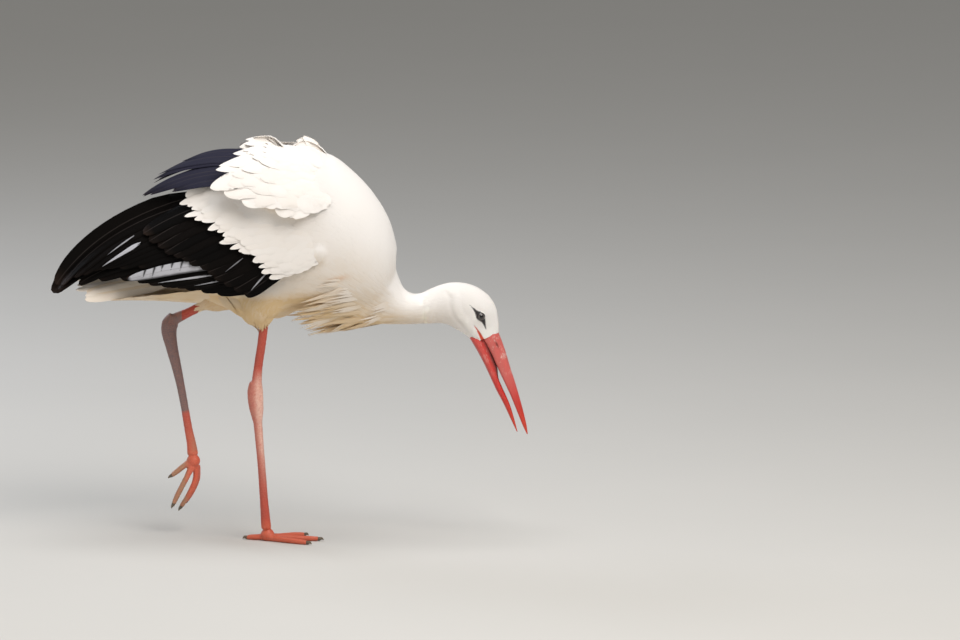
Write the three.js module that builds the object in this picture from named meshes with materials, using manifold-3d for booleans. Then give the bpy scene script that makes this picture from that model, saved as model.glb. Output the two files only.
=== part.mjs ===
// A life-size white stork in mid step: it stands on its right foot, trails the left one,
// and reaches forward and down with its neck.
// Millimetres. +X is forward, +Y is the bird's left, +Z is up. The origin lies on the floor under
// the right foot, in the bird's midplane.
//
// Three forms make every solid: a band (a body part symmetric about the midplane, given by its
// upper and lower outline and its half width), a limb (a tube along a path) and a fan (a row of
// overlapping feathers, given by the curves of their roots, middles and tips).
import * as THREE from "three";
import { mergeVertices } from "three/addons/utils/BufferGeometryUtils.js";
import Module from "manifold-3d";

const wasm = await Module();
wasm.setup();

// ---------------------------------------------------------------- driving dimensions

const GAP = 0.4; // clearance between neighbouring solids
const RIGHT = -1;
const LEFT = 1;

const EYE_RADIUS = 7.6;
const EYE_CENTRE = { x: 346, y: 18.4, z: 371 };

const TOE_RADIUS = 5.2; // at the toe's root
const TOE_TIP_RADIUS = 3.9;
const CLAW_LENGTH = 9;

const PRIMARIES = 7; // feathers that show in each fan
const SECONDARIES = 10;
const GREATER_COVERTS = 10;
const WHITE_COVERTS = 9;
const SCAPULARS = 8;
const LONG_SCAPULARS = 4;
const TAIL_FEATHERS = 10;
const BIB_PLUMES = 7;
const LEFT_WING_SAG = 11; // how much lower the left wing hangs than the right one

const SKIN = { white: "#efe9e2", black: "#17161a", leg: "#c8473a", bill: "#c62f2b", claw: "#4a3a34" };

// ---------------------------------------------------------------- small tools

const vec = (x, y, z) => new THREE.Vector3(x, y, z);
const Y_AXIS = vec(0, 1, 0);

// A smooth curve through a list of values or points, read by its own parameter from 0 to 1.
function through(points) {
  const curve = new THREE.CatmullRomCurve3(points, false, "centripetal");
  return (t) => curve.getPoint(THREE.MathUtils.clamp(t, 0, 1));
}

// Straight blending between the numbers of a list, so that it never swings past them.
function between(values) {
  return (t) => {
    const place = THREE.MathUtils.clamp(t, 0, 1) * (values.length - 1);
    const low = Math.min(Math.floor(place), values.length - 2);
    return THREE.MathUtils.lerp(values[low], values[low + 1], place - low);
  };
}

// The same for a list of numbers, smoothly.
function smooth(values) {
  const curve = through(values.map((value) => vec(value, 0, 0)));
  return (t) => curve(t).x;
}

// A closed solid from vertices and triangles, turned to face outwards.
function solidFrom(vertices, triangles) {
  const geometry = new THREE.BufferGeometry();
  geometry.setAttribute("position", new THREE.Float32BufferAttribute(vertices.flatMap((v) => v.toArray()), 3));
  geometry.setIndex(triangles);
  const merged = mergeVertices(geometry, 1e-3);
  const make = (triVerts) =>
    new wasm.Manifold(new wasm.Mesh({ numProp: 3, vertProperties: merged.attributes.position.array, triVerts }));
  const faces = new Uint32Array(merged.index.array);
  const made = make(faces);
  if (made.volume() > 0) return made;
  for (let i = 0; i < faces.length; i += 3) [faces[i + 1], faces[i + 2]] = [faces[i + 2], faces[i + 1]];
  return make(faces);
}

// Joins a stack of rings into a closed skin, with a fan of triangles over each end.
function stack(rings, startCentre, endCentre) {
  const sides = rings[0].length;
  const vertices = [...rings.flat(), startCentre, endCentre];
  const start = vertices.length - 2;
  const triangles = [];
  for (let s = 0; s < sides; s++) {
    const next = (s + 1) % sides;
    for (let r = 0; r < rings.length - 1; r++) {
      const a = r * sides;
      const b = a + sides;
      triangles.push(a + s, a + next, b + s, a + next, b + next, b + s);
    }
    const last = (rings.length - 1) * sides;
    triangles.push(start, next, s, start + 1, last + s, last + next);
  }
  return solidFrom(vertices, triangles);
}

// A body part symmetric about the midplane. Each station is [x and z of its upper outline point,
// x and z of its lower one, half width]; `crest` under 1 narrows its upper side to a ridge and
// `keel` its lower side.
function band({ stations, rings, sides = 20, y = 0, from = 0, to = 1, crest = 1, keel = 1 }, grow = 0) {
  const upper = through(stations.map(([x, z]) => vec(x, 0, z)));
  const lower = through(stations.map(([, , x, z]) => vec(x, 0, z)));
  const half = between(stations.map((station) => station[4]));
  const ring = (t) => {
    const centre = upper(t).add(lower(t)).multiplyScalar(0.5);
    const up = upper(t).sub(centre);
    const height = up.length() + grow;
    up.normalize();
    return Array.from({ length: sides }, (_, i) => {
      const angle = (2 * Math.PI * i) / sides;
      const lift = Math.cos(angle);
      const spread = Math.sign(Math.sin(angle)) * Math.abs(Math.sin(angle)) ** (1 / (lift > 0 ? crest : keel));
      return centre
        .clone()
        .addScaledVector(up, lift * height)
        .addScaledVector(Y_AXIS, spread * (half(t) + grow))
        .setY(y + spread * (half(t) + grow));
    });
  };
  const middle = (points) => points.reduce((sum, p) => sum.add(p), vec(0, 0, 0)).divideScalar(points.length);
  const places = Array.from({ length: rings + 1 }, (_, i) => from + ((to - from) * i) / rings);
  const all = places.map(ring);
  const ends = [middle(all[0]), middle(all[rings])];
  const inward = [middle(all[1]), middle(all[rings - 1])];
  ends.forEach((end, i) => {
    const out = end.clone().sub(inward[i]).setY(0).normalize().multiplyScalar(grow);
    end.add(out);
    all[i === 0 ? 0 : rings].forEach((p) => p.add(out));
  });
  return stack(all, ends[0], ends[1]);
}

// A tube along a path. `along` is its radius fore and aft, `across` its radius sideways.
// With `floor`, nothing reaches below z = 0, which leaves a flat sole.
function limb({ path, along, across = along, rings, sides = 10, floor = false }, grow = 0) {
  const line = through(path.map((p) => vec(...p)));
  const fore = between(along);
  const side = between(across);
  const all = Array.from({ length: rings + 1 }, (_, i) => {
    const t = i / rings;
    const tangent = line(Math.min(1, t + 0.02)).sub(line(Math.max(0, t - 0.02))).normalize();
    const forward = Y_AXIS.clone().cross(tangent).normalize();
    const sideways = tangent.clone().cross(forward);
    const centre = line(t).addScaledVector(tangent, i === 0 ? -grow : i === rings ? grow : 0);
    return Array.from({ length: sides }, (_, k) => {
      const angle = (2 * Math.PI * (k + 0.5)) / sides;
      const p = centre
        .clone()
        .addScaledVector(forward, Math.cos(angle) * (fore(t) + grow))
        .addScaledVector(sideways, Math.sin(angle) * (side(t) + grow));
      if (floor) p.z = Math.max(0, p.z);
      return p;
    });
  });
  const centreOf = (points) => points.reduce((sum, p) => sum.add(p), vec(0, 0, 0)).divideScalar(points.length);
  return stack(all, centreOf(all[0]), centreOf(all[rings]));
}

// A row of overlapping feathers as one curved plate. Roots, mids and tips are lists of [x, y, z]
// from the first feather to the last; each feather bends from its root by way of its mid to its
// tip. With `lie`, a function of x and z, the lists are only [x, z] and the plate lies on that
// surface. `notch` is how deep the gaps between the tips cut in, as a share of the length, and
// `ridge` how far each feather's shaft stands proud. The plate's outer side swells to `thick`.
function fan({ roots, mids, tips, feathers, notch, rows = 5, thick, edge = 1.2, ridge = 1, outward, lie }, grow = 0) {
  const points = (list) => list.map((p) => (lie ? vec(p[0], 0, p[1]) : vec(...p)));
  const [root, mid, tip] = [roots, mids, tips].map((list) => through(points(list)));
  const lines = feathers * 2; // a shaft and a seam to each feather
  const place = (u, v) => {
    const p = root(v).multiplyScalar((1 - u) ** 2).addScaledVector(mid(v), 2 * u * (1 - u)).addScaledVector(tip(v), u * u);
    return lie ? p.setY(lie(p.x, p.z)) : p;
  };
  const outer = [];
  const inner = [];
  for (let r = 0; r <= rows; r++) {
    for (let c = 0; c <= lines; c++) {
      const v = c / lines;
      const seam = c % 2 === 0;
      const u = (r / rows) * (seam ? 1 - notch : 1);
      const here = place(u, v);
      const alongU = place(Math.min(1, u + 0.02), v).sub(place(Math.max(0, u - 0.02), v)).normalize();
      const alongV = place(u, Math.min(1, v + 0.01)).sub(place(u, Math.max(0, v - 0.01))).normalize();
      const normal = alongU.clone().cross(alongV).normalize();
      if (normal.dot(vec(...outward)) < 0) normal.negate();
      if (r === 0 || r === rows) here.addScaledVector(alongU, r === 0 ? -grow : grow);
      if (c === 0 || c === lines) here.addScaledVector(alongV, c === 0 ? -grow : grow);
      const swell = (thick - edge) * Math.sqrt(Math.max(0, Math.sin(Math.PI * v))) * Math.sin(0.85 * Math.PI * u);
      const shaft = seam ? 0 : ridge * Math.min(1, 3 * u);
      outer.push(here.clone().addScaledVector(normal, edge / 2 + swell + shaft + grow));
      inner.push(here.clone().addScaledVector(normal, shaft - edge / 2 - grow));
    }
  }
  const wide = lines + 1;
  const count = outer.length;
  const triangles = [];
  const quad = (a, b, c, d) => triangles.push(a, b, c, a, c, d);
  for (let r = 0; r < rows; r++) {
    for (let c = 0; c < lines; c++) {
      const a = r * wide + c;
      quad(a, a + 1, a + 1 + wide, a + wide);
      quad(count + a, count + a + wide, count + a + 1 + wide, count + a + 1);
    }
    const first = r * wide;
    const last = first + lines;
    quad(first, first + wide, count + first + wide, count + first);
    quad(last, count + last, count + last + wide, last + wide);
  }
  for (let c = 0; c < lines; c++) {
    const far = rows * wide + c;
    quad(c, count + c, count + c + 1, c + 1);
    quad(far, far + 1, count + far + 1, count + far);
  }
  return solidFrom([...outer, ...inner], triangles);
}

function ball({ centre, radius, wide = 10, high = 7 }, grow = 0) {
  const geometry = new THREE.SphereGeometry(radius + grow, wide, high).translate(...centre);
  geometry.deleteAttribute("normal");
  geometry.deleteAttribute("uv");
  const merged = mergeVertices(geometry, 1e-3);
  const points = merged.attributes.position;
  const vertices = Array.from({ length: points.count }, (_, i) => vec(0, 0, 0).fromBufferAttribute(points, i));
  const faces = Array.from(merged.index.array);
  const kept = [];
  for (let i = 0; i < faces.length; i += 3) {
    const [a, b, c] = faces.slice(i, i + 3);
    if (a !== b && b !== c && a !== c) kept.push(a, b, c);
  }
  return solidFrom(vertices, kept);
}

// The main body that is left of a solid once its neighbours are cut from it.
function cut(solid, ...neighbours) {
  let left = solid;
  for (const neighbour of neighbours) left = left.subtract(neighbour);
  const bodies = left.decompose();
  return bodies.reduce((most, body) => (body.volume() > most.volume() ? body : most));
}

const stork = new THREE.Group();

function addNode(name, solid, colour, roughness = 0.7) {
  const mesh = solid.getMesh();
  const points = new Float32Array(mesh.numVert * 3);
  for (let i = 0; i < mesh.numVert; i++)
    points.set(mesh.vertProperties.subarray(i * mesh.numProp, i * mesh.numProp + 3), i * 3);
  const geometry = new THREE.BufferGeometry();
  geometry.setAttribute("position", new THREE.BufferAttribute(points, 3));
  geometry.setIndex(new THREE.BufferAttribute(mesh.triVerts, 1));
  geometry.computeVertexNormals();
  const node = new THREE.Mesh(geometry, new THREE.MeshStandardMaterial({ color: colour, roughness, metalness: 0 }));
  node.name = name;
  stork.add(node);
}

// ---------------------------------------------------------------- trunk, neck and head

const trunkForm = {
  rings: 15,
  sides: 18,
  stations: [
    [-212, 458, -216, 424, 10],
    [-186, 486, -196, 415, 27],
    [-150, 514, -160, 410, 40],
    [-100, 548, -116, 401, 56],
    [-50, 578, -66, 380, 69],
    [0, 606, -12, 365, 79],
    [50, 630, 38, 362, 86],
    [97, 637, 88, 363, 87],
    [141.5, 606.5, 134, 366, 80],
    [175.5, 568, 168, 369, 68],
    [197, 531, 190, 384, 52],
    [207, 499, 203, 416, 34],
    [211, 477, 210, 444, 14],
  ],
};

const neckForm = {
  stations: [
    [184, 500, 128, 384, 50],
    [203, 466, 156, 364, 44],
    [214, 432, 187, 355, 35],
    [224, 413, 212, 354, 29],
    [240, 406.5, 238, 354, 26],
    [258, 411, 257, 355, 24.5],
    [275, 418.5, 275, 356, 24.5],
  ],
};

const headForm = {
  stations: [
    [275.5, 418.7, 275.5, 356, 24.5],
    [297, 424.5, 292, 354, 26],
    [320, 424, 305, 346.5, 26.5],
    [342, 416.5, 316, 340, 26],
    [360, 403, 324, 334, 23.5],
    [371.5, 384, 329.5, 330, 20],
    [376, 362, 333, 327, 16.5],
    [377.3, 341, 335, 324.6, 14.2],
  ],
};

const upperBillForm = {
  rings: 8,
  sides: 10,
  crest: 0.8,
  stations: [
    [362, 372, 338, 350, 9],
    [375.8, 340, 353.6, 325, 12.8],
    [386, 312, 362.5, 308, 11.6],
    [393.3, 287, 372, 286.5, 10.4],
    [401.3, 262, 383.5, 262, 9],
    [408.7, 236.8, 395, 237, 7.6],
    [415.4, 211.7, 405, 212, 5.8],
    [420.6, 189, 414.5, 188.5, 3.6],
    [422.5, 175, 421, 174.6, 1],
  ],
};

const lowerBillForm = {
  rings: 7,
  sides: 10,
  keel: 0.8,
  stations: [
    [338, 350, 322, 342, 9],
    [350, 325, 331.5, 327, 12],
    [360.5, 300, 346.7, 300, 10.6],
    [371, 274.5, 359, 274.5, 9.2],
    [382, 249.5, 370.3, 249.5, 7.8],
    [393, 224.5, 383.3, 224.5, 6.2],
    [400.5, 200, 394.6, 200, 4.2],
    [406, 178.5, 404.6, 178.8, 1],
  ],
};

const trunk = band(trunkForm);
const trunkRoom = band(trunkForm, GAP);

// The neck is one long bend, made in three lengths.
const NECK_LENGTHS = [
  { name: "neck_base", from: 0, to: 0.5, rings: 4 },
  { name: "neck_middle", from: 0.505, to: 0.75, rings: 2 },
  { name: "neck_upper", from: 0.755, to: 0.995, rings: 2 },
];
const neckRoom = band({ ...neckForm, rings: 8, sides: 16 }, GAP);
const upperBill = band(upperBillForm);
const lowerBill = band(lowerBillForm);
const eyes = [RIGHT, LEFT].map((side) => ({
  side,
  centre: [EYE_CENTRE.x, side * EYE_CENTRE.y, EYE_CENTRE.z],
  radius: EYE_RADIUS,
}));
const head = cut(
  band({ ...headForm, rings: 8, sides: 16 }),
  band(upperBillForm, GAP),
  band(lowerBillForm, GAP),
  ...eyes.map((eye) => ball(eye, GAP)),
);

addNode("trunk", trunk, SKIN.white);
for (const { name, ...span } of NECK_LENGTHS)
  addNode(name, cut(band({ ...neckForm, ...span, sides: 16 }), trunkRoom), SKIN.white);
addNode("head", head, SKIN.white);
addNode("bill_upper", upperBill, SKIN.bill, 0.45);
addNode("bill_lower", lowerBill, SKIN.bill, 0.45);
for (const eye of eyes) addNode(eye.side === RIGHT ? "eye_right" : "eye_left", ball(eye), "#1b1310", 0.1);

// The bib: long loose plumes that hang back from the lower neck.
const bibForm = {
  feathers: BIB_PLUMES,
  notch: 0.14,
  rows: 3,
  thick: 7,
  edge: 2,
  outward: [0, 0, -1],
  roots: [[172, -40, 388], [188, -24, 366], [194, 0, 360], [188, 24, 366], [172, 40, 388]],
  mids: [[112, -60, 384], [130, -34, 361], [137, 0, 354], [130, 34, 361], [112, 60, 384]],
  tips: [[34, -58, 374], [58, -34, 350], [74, 0, 335], [58, 34, 350], [34, 58, 374]],
};
addNode("bib_plumes", cut(fan(bibForm), trunkRoom, neckRoom), SKIN.white);

// ---------------------------------------------------------------- tail and wings

const tailForm = {
  feathers: TAIL_FEATHERS,
  notch: 0.05,
  rows: 2,
  thick: 7,
  edge: 1.6,
  outward: [0, 0, 1],
  roots: [[-170, -22, 432], [-170, 0, 438], [-170, 22, 432]],
  mids: [[-242, -34, 427], [-246, 0, 430], [-242, 34, 427]],
  tips: [[-306, -46, 409], [-320, 0, 405], [-306, 46, 409]],
};
const tail = cut(fan(tailForm), trunkRoom);
const tailRoom = fan(tailForm, GAP);
addNode("tail", tail, SKIN.white);

// How far the folded wing stands from the midplane: the two wings nearly meet over the rump and
// spread to both sides of the belly. The lists run from the wing's tip to its wrist.
const WING_REACH = { tip: -354, wrist: 100 };
const WING_SURFACE = {
  upperEdge: [408, 478, 524, 556, 582, 598, 608, 606],
  lowerEdge: [404, 428, 440, 428, 422, 418, 440, 480],
  upperHalf: [5, 9, 13, 18, 26, 42, 58, 56],
  lowerHalf: [22, 46, 66, 80, 86, 88, 84, 68],
};
const wingLists = Object.fromEntries(Object.entries(WING_SURFACE).map(([key, values]) => [key, smooth(values)]));

function wingHalf(x, z) {
  const t = (x - WING_REACH.tip) / (WING_REACH.wrist - WING_REACH.tip);
  const { upperEdge, lowerEdge, upperHalf, lowerHalf } = wingLists;
  const rise = THREE.MathUtils.clamp((z - lowerEdge(t)) / (upperEdge(t) - lowerEdge(t)), 0, 1);
  return THREE.MathUtils.lerp(lowerHalf(t), upperHalf(t), rise ** 1.8);
}

// The folded wing in four layers, each lying on the one before it. Every list of [x, z] runs from
// the wing's upper edge to its lower edge. The left wing hangs a little lower than the right one.
function wingForms(side) {
  const sag = side === LEFT ? LEFT_WING_SAG : 0;
  const lay = ({ depth, roots, mids, tips, ...form }) => ({
    ...form,
    roots: roots.map(([x, z]) => [x, z - sag * 0.7]),
    mids: mids.map(([x, z]) => [x, z - sag]),
    tips: tips.map(([x, z]) => [x, z - sag]),
    outward: [0, side, 0.15],
    lie: (x, z) => side * (wingHalf(x, z + sag) + depth),
  });
  return {
    primaries: lay({
      depth: 0,
      feathers: PRIMARIES,
      notch: 0.04,
      rows: 3,
      thick: 2.5,
      ridge: 0.5,
      roots: [[-60, 480], [-34, 456], [-8, 432]],
      mids: [[-250, 508], [-150, 458], [-44, 430]],
      tips: [[-346, 412], [-250, 440], [-150, 432], [-76, 424]],
    }),
    secondaries: lay({
      depth: 5,
      feathers: SECONDARIES,
      notch: 0.06,
      rows: 4,
      thick: 4,
      ridge: 0.8,
      roots: [[-96, 578], [-56, 544], [-28, 500], [-8, 450]],
      mids: [[-281, 537], [-208, 500], [-132, 474], [-42, 442]],
      tips: [[-364, 392], [-304, 437], [-262, 457], [-205, 449], [-140, 440], [-72, 431]],
    }),
    greaterCoverts: lay({
      depth: 11,
      feathers: GREATER_COVERTS,
      notch: 0.1,
      rows: 3,
      thick: 4,
      ridge: 0.8,
      roots: [[-60, 572], [-26, 536], [4, 494], [22, 446]],
      mids: [[-140, 556], [-90, 512], [-36, 466], [2, 426]],
      tips: [[-208, 510], [-166, 484], [-124, 468], [-84, 442], [-30, 413]],
    }),
    coverts: lay({
      depth: 17.5,
      feathers: WHITE_COVERTS,
      notch: 0.09,
      rows: 4,
      thick: 9,
      edge: 2,
      ridge: 0.8,
      roots: [[52, 602], [84, 572], [100, 530], [94, 484]],
      mids: [[-62, 594], [-14, 556], [24, 512], [52, 458]],
      tips: [[-150, 566], [-120, 536], [-76, 508], [-40, 482], [8, 448]],
    }),
  };
}

// The shoulder feathers: a ruffled white mound over the top of the wing, and the long black
// plumes that come out from under it. The left plumes lie a little lower too.
function shoulderForms(side) {
  const sag = side === LEFT ? LEFT_WING_SAG : 0;
  const at = (points, drop = 0) => points.map(([x, y, z]) => [x, side * y, z - drop]);
  return {
    scapulars: {
      feathers: SCAPULARS,
      notch: 0.09,
      rows: 4,
      thick: 11,
      edge: 2,
      ridge: 1.2,
      outward: [0, side * 0.7, 0.7],
      roots: at([[112, 1, 633], [110, 44, 619], [102, 75, 590], [96, 93, 560]]),
      mids: at([[52, 1, 664], [44, 54, 645], [32, 94, 602], [58, 108, 552]]),
      tips: at([[-22, 1, 656], [-40, 30, 642], [-60, 56, 624], [-80, 80, 602], [-42, 101, 574], [2, 112, 560], [56, 110, 551]]),
    },
    longScapulars: {
      feathers: LONG_SCAPULARS,
      notch: 0.12,
      rows: 4,
      thick: 4,
      ridge: 0.8,
      outward: [0, side * 0.5, 0.8],
      roots: at([[-14, 2, 636], [-18, 24, 626], [-24, 42, 610], [-28, 56, 598]]),
      mids: at([[-84, 2, 649], [-112, 20, 638], [-114, 36, 618], [-96, 52, 600]], sag / 2),
      tips: at([[-134, 2, 622], [-184, 16, 593], [-199, 32, 568], [-150, 46, 576]], sag),
    },
  };
}

for (const side of [RIGHT, LEFT]) {
  const name = side === RIGHT ? "right" : "left";
  const { primaries, secondaries, greaterCoverts, coverts } = wingForms(side);
  const { scapulars, longScapulars } = shoulderForms(side);
  const rooms = [primaries, secondaries, greaterCoverts, coverts].map((form) => fan(form, GAP));
  const body = [trunkRoom, tailRoom];
  addNode(`wing_primaries_${name}`, cut(fan(primaries), ...body), SKIN.black);
  addNode(`wing_secondaries_${name}`, cut(fan(secondaries), ...body, rooms[0]), SKIN.black);
  addNode(`wing_greater_coverts_${name}`, cut(fan(greaterCoverts), ...body, rooms[0], rooms[1]), SKIN.black);
  addNode(`wing_coverts_${name}`, cut(fan(coverts), ...body, rooms[0], rooms[1], rooms[2]), SKIN.white);
  const mound = cut(fan(scapulars), trunkRoom, ...rooms);
  addNode(`scapulars_${name}`, mound, SKIN.white);
  addNode(`long_scapulars_${name}`, cut(fan(longScapulars), trunkRoom, ...rooms, fan(scapulars, GAP)), SKIN.black);
}

// ---------------------------------------------------------------- legs

// Each leg: the feathered thigh, the bare shank down to the ankle, and the long metatarsus down
// to the foot, which carries three front toes and a short hind toe.
const LEGS = [
  {
    name: "right",
    standing: true,
    thigh: {
      path: [[-4, -46, 424], [-9, -45, 400], [-13, -42, 378], [-12, -38, 361]],
      along: [46, 43, 34, 17],
      across: [30, 28, 22, 12],
    },
    shank: {
      path: [[-3, -37, 372], [-8, -33, 330], [-14, -28, 290], [-17, -25, 258]],
      along: [7.2, 7, 7, 8.5],
      across: [6.2, 6, 6, 7.2],
    },
    metatarsus: {
      path: [
        [-18, -25, 264], [-19, -24, 250], [-18.5, -23, 235], [-17, -21.5, 218], [-15, -19, 196],
        [-12, -15, 158], [-9, -11, 120], [-5.5, -6, 66], [-2, -2, 20],
      ],
      along: [10, 12.7, 12.7, 11.4, 7.2, 6.5, 6.3, 6.7, 8.2],
      across: [8, 9.6, 9.8, 9, 6.2, 5.6, 5.4, 5.8, 8.4],
    },
    pad: { centre: [0, 0, 9], radius: 11 },
    toes: {
      middle: [[6, 0, 4.6], [34, -2, 4.1], [60, -4, 3.7], [82, -5, 3.2]],
      inner: [[4, 5, 4.6], [24, 17, 4.1], [44, 29, 3.7], [58, 36, 3.2]],
      outer: [[3, -5, 4.6], [26, -20, 4.1], [48, -33, 3.7], [64, -41, 3.2]],
      hind: [[-7, 1, 5.4], [-16, 4, 4.6], [-25, 7, 3.8], [-32, 9, 3.2]],
    },
  },
  {
    name: "left",
    standing: false,
    thigh: {
      path: [[-48, 46, 414], [-66, 46, 400], [-88, 46, 386], [-108, 46, 378]],
      along: [42, 34, 21, 9],
      across: [30, 26, 17, 8.5],
    },
    shank: {
      path: [[-94, 46, 384], [-112, 46.5, 375], [-130, 47, 366], [-149, 48, 357]],
      along: [7.8, 7.4, 7.4, 9],
      across: [6.4, 6, 6.2, 8],
    },
    metatarsus: {
      path: [
        [-151, 48, 361], [-158, 48, 349], [-160, 48, 336], [-156, 47.5, 312], [-149, 47, 282],
        [-142, 46.5, 250], [-135, 46, 212], [-129, 46, 176], [-124, 46, 150], [-122, 46, 134],
      ],
      along: [9.5, 13.5, 12.5, 10, 8.2, 6.8, 6.2, 6.6, 7.6, 9],
      across: [8, 10, 9.5, 8, 6.6, 5.8, 5.4, 5.6, 6.6, 8.6],
    },
    pad: { centre: [-121, 46, 123], radius: 11 },
    toes: {
      middle: [[-117, 47, 114], [-118, 49, 92], [-128, 51, 68], [-141, 53, 47]],
      inner: [[-124, 42, 113], [-134, 37, 93], [-145, 34, 72], [-153, 33, 55]],
      outer: [[-115, 51, 114], [-115, 59, 92], [-123, 66, 71], [-133, 72, 53]],
      hind: [[-129, 44, 120], [-138, 42, 114], [-147, 40, 107], [-155, 39, 101]],
    },
  },
];

function clawForm(toe, standing) {
  const [before, tip] = toe.slice(-2).map((p) => vec(...p));
  const ahead = tip.clone().sub(before).normalize();
  const end = tip.clone().addScaledVector(ahead, CLAW_LENGTH).add(vec(0, 0, standing ? -1.6 : 0));
  return {
    path: [tip.clone().addScaledVector(ahead, -2).toArray(), tip.clone().addScaledVector(ahead, 4).toArray(), end.toArray()],
    along: [2.7, 2.6, 0.9],
    rings: 2,
    sides: 6,
    floor: standing,
  };
}

for (const leg of LEGS) {
  const thigh = { ...leg.thigh, rings: 4, sides: 12 };
  const shank = { ...leg.shank, rings: 3, sides: 10 };
  const metatarsus = { ...leg.metatarsus, rings: 11, sides: 9 };
  const { pad } = leg;
  const grounded = (solid) => (leg.standing ? solid.trimByPlane([0, 0, 1], 0) : solid);
  addNode(`thigh_${leg.name}`, cut(limb(thigh), trunkRoom, limb(shank, GAP)), SKIN.white);
  addNode(`shank_${leg.name}`, cut(limb(shank), limb(metatarsus, GAP)), SKIN.leg);
  addNode(`metatarsus_${leg.name}`, limb(metatarsus), SKIN.leg);
  const padRoom = ball(pad, GAP);
  const metatarsusRoom = limb(metatarsus, GAP);
  addNode(`foot_${leg.name}`, grounded(cut(ball(pad), metatarsusRoom)), SKIN.leg);
  const placed = [metatarsusRoom, padRoom];
  for (const [toe, path] of Object.entries(leg.toes)) {
    const form = { path, along: [TOE_RADIUS, 4.7, 4.4, TOE_TIP_RADIUS], rings: 3, sides: 8, floor: leg.standing };
    const claw = clawForm(path, leg.standing);
    addNode(`toe_${toe}_${leg.name}`, cut(limb(form), ...placed), SKIN.leg);
    addNode(`claw_${toe}_${leg.name}`, cut(limb(claw), limb(form, GAP)), SKIN.claw, 0.5);
    placed.push(limb(form, GAP));
  }
}

export default stork;
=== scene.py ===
"""A life-size model of a white stork: skin, plumage, bill, eyes and claws over its solid frame.

The shapes start from the same named lists as the solids, in millimetres. +X is forward, +Y is the
bird's left and +Z is up; the origin lies on the floor under the standing foot.
"""
import math

import bmesh
import bpy
import numpy as np
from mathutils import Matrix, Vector
from mathutils.kdtree import KDTree


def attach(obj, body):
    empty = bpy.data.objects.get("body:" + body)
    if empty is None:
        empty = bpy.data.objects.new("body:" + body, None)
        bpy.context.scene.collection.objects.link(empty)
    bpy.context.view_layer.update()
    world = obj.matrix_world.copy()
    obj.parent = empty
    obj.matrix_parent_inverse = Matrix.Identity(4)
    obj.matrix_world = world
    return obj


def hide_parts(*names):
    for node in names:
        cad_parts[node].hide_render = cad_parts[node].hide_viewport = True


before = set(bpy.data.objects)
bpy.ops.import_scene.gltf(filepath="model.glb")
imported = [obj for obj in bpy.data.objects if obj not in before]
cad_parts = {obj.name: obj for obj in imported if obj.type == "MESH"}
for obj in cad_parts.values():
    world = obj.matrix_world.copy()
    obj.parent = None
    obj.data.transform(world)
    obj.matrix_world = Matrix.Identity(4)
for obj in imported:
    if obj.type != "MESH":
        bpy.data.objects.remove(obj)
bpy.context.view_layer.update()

bl_info = {
    "name": "White stork, life size",
    "version": (1, 0, 0),
    "blender": (4, 5, 0),
    "location": "3D View > Sidebar > Stork",
    "description": "Dresses the solid frame of a white stork with skin, feathers, bill and eyes",
    "category": "Object",
}

MM = 0.001
RIGHT = -1
LEFT = 1
SIDES = ((RIGHT, "right"), (LEFT, "left"))
LEFT_WING_SAG = 11  # how much lower the left wing hangs, in mm

# ---------------------------------------------------------------- the bird's own lines, in mm

# A band's stations run along the body: x and z of its upper outline, x and z of its lower
# outline, and its half width.
TRUNK = [
    [-212, 458, -216, 424, 10],
    [-186, 486, -196, 415, 27],
    [-150, 514, -160, 410, 40],
    [-100, 548, -116, 401, 56],
    [-50, 578, -66, 380, 69],
    [0, 606, -12, 365, 79],
    [50, 630, 38, 362, 86],
    [97, 637, 88, 363, 87],
    [141.5, 606.5, 134, 366, 80],
    [175.5, 568, 168, 369, 68],
    [197, 531, 190, 384, 52],
    [207, 499, 203, 416, 34],
    [211, 477, 210, 444, 14],
]
NECK = [
    [184, 500, 128, 384, 50],
    [203, 466, 156, 364, 44],
    [214, 432, 187, 355, 35],
    [224, 413, 212, 354, 29],
    [240, 406.5, 238, 354, 26],
    [258, 411, 257, 355, 24.5],
    [275, 418.5, 275, 356, 24.5],
]
HEAD = [
    [275.5, 418.7, 275.5, 356, 24.5],
    [297, 424.5, 292, 354, 26],
    [320, 424, 305, 346.5, 26.5],
    [342, 416.5, 316, 340, 26],
    [360, 403, 324, 334, 23.5],
    [371.5, 384, 329.5, 330, 20],
    [376, 362, 333, 327, 16.5],
    [377.3, 341, 335, 324.6, 14.2],
]
UPPER_BILL = [
    [362, 372, 338, 350, 9],
    [375.8, 340, 353.6, 325, 12.8],
    [386, 312, 362.5, 308, 11.6],
    [393.3, 287, 372, 286.5, 10.4],
    [401.3, 262, 383.5, 262, 9],
    [408.7, 236.8, 395, 237, 7.6],
    [415.4, 211.7, 405, 212, 5.8],
    [420.6, 189, 414.5, 188.5, 3.6],
    [422.5, 175, 421, 174.6, 1],
]
LOWER_BILL = [
    [338, 350, 322, 342, 9],
    [350, 325, 331.5, 327, 12],
    [360.5, 300, 346.7, 300, 10.6],
    [371, 274.5, 359, 274.5, 9.2],
    [382, 249.5, 370.3, 249.5, 7.8],
    [393, 224.5, 383.3, 224.5, 6.2],
    [400.5, 200, 394.6, 200, 4.2],
    [406, 178.5, 404.6, 178.8, 1],
]

# The line down the middle of the bird, from the bill's root to the tail's. Feathers lie along it.
SPINE = [
    [357, 0, 344], [350, 0, 368], [330, 0, 386], [300, 0, 389], [275, 0, 387], [250, 0, 381],
    [226, 0, 386], [200, 0, 412], [172, 0, 446], [134, 0, 480], [80, 0, 500], [0, 0, 490],
    [-80, 0, 472], [-160, 0, 452], [-216, 0, 441],
]

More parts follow.
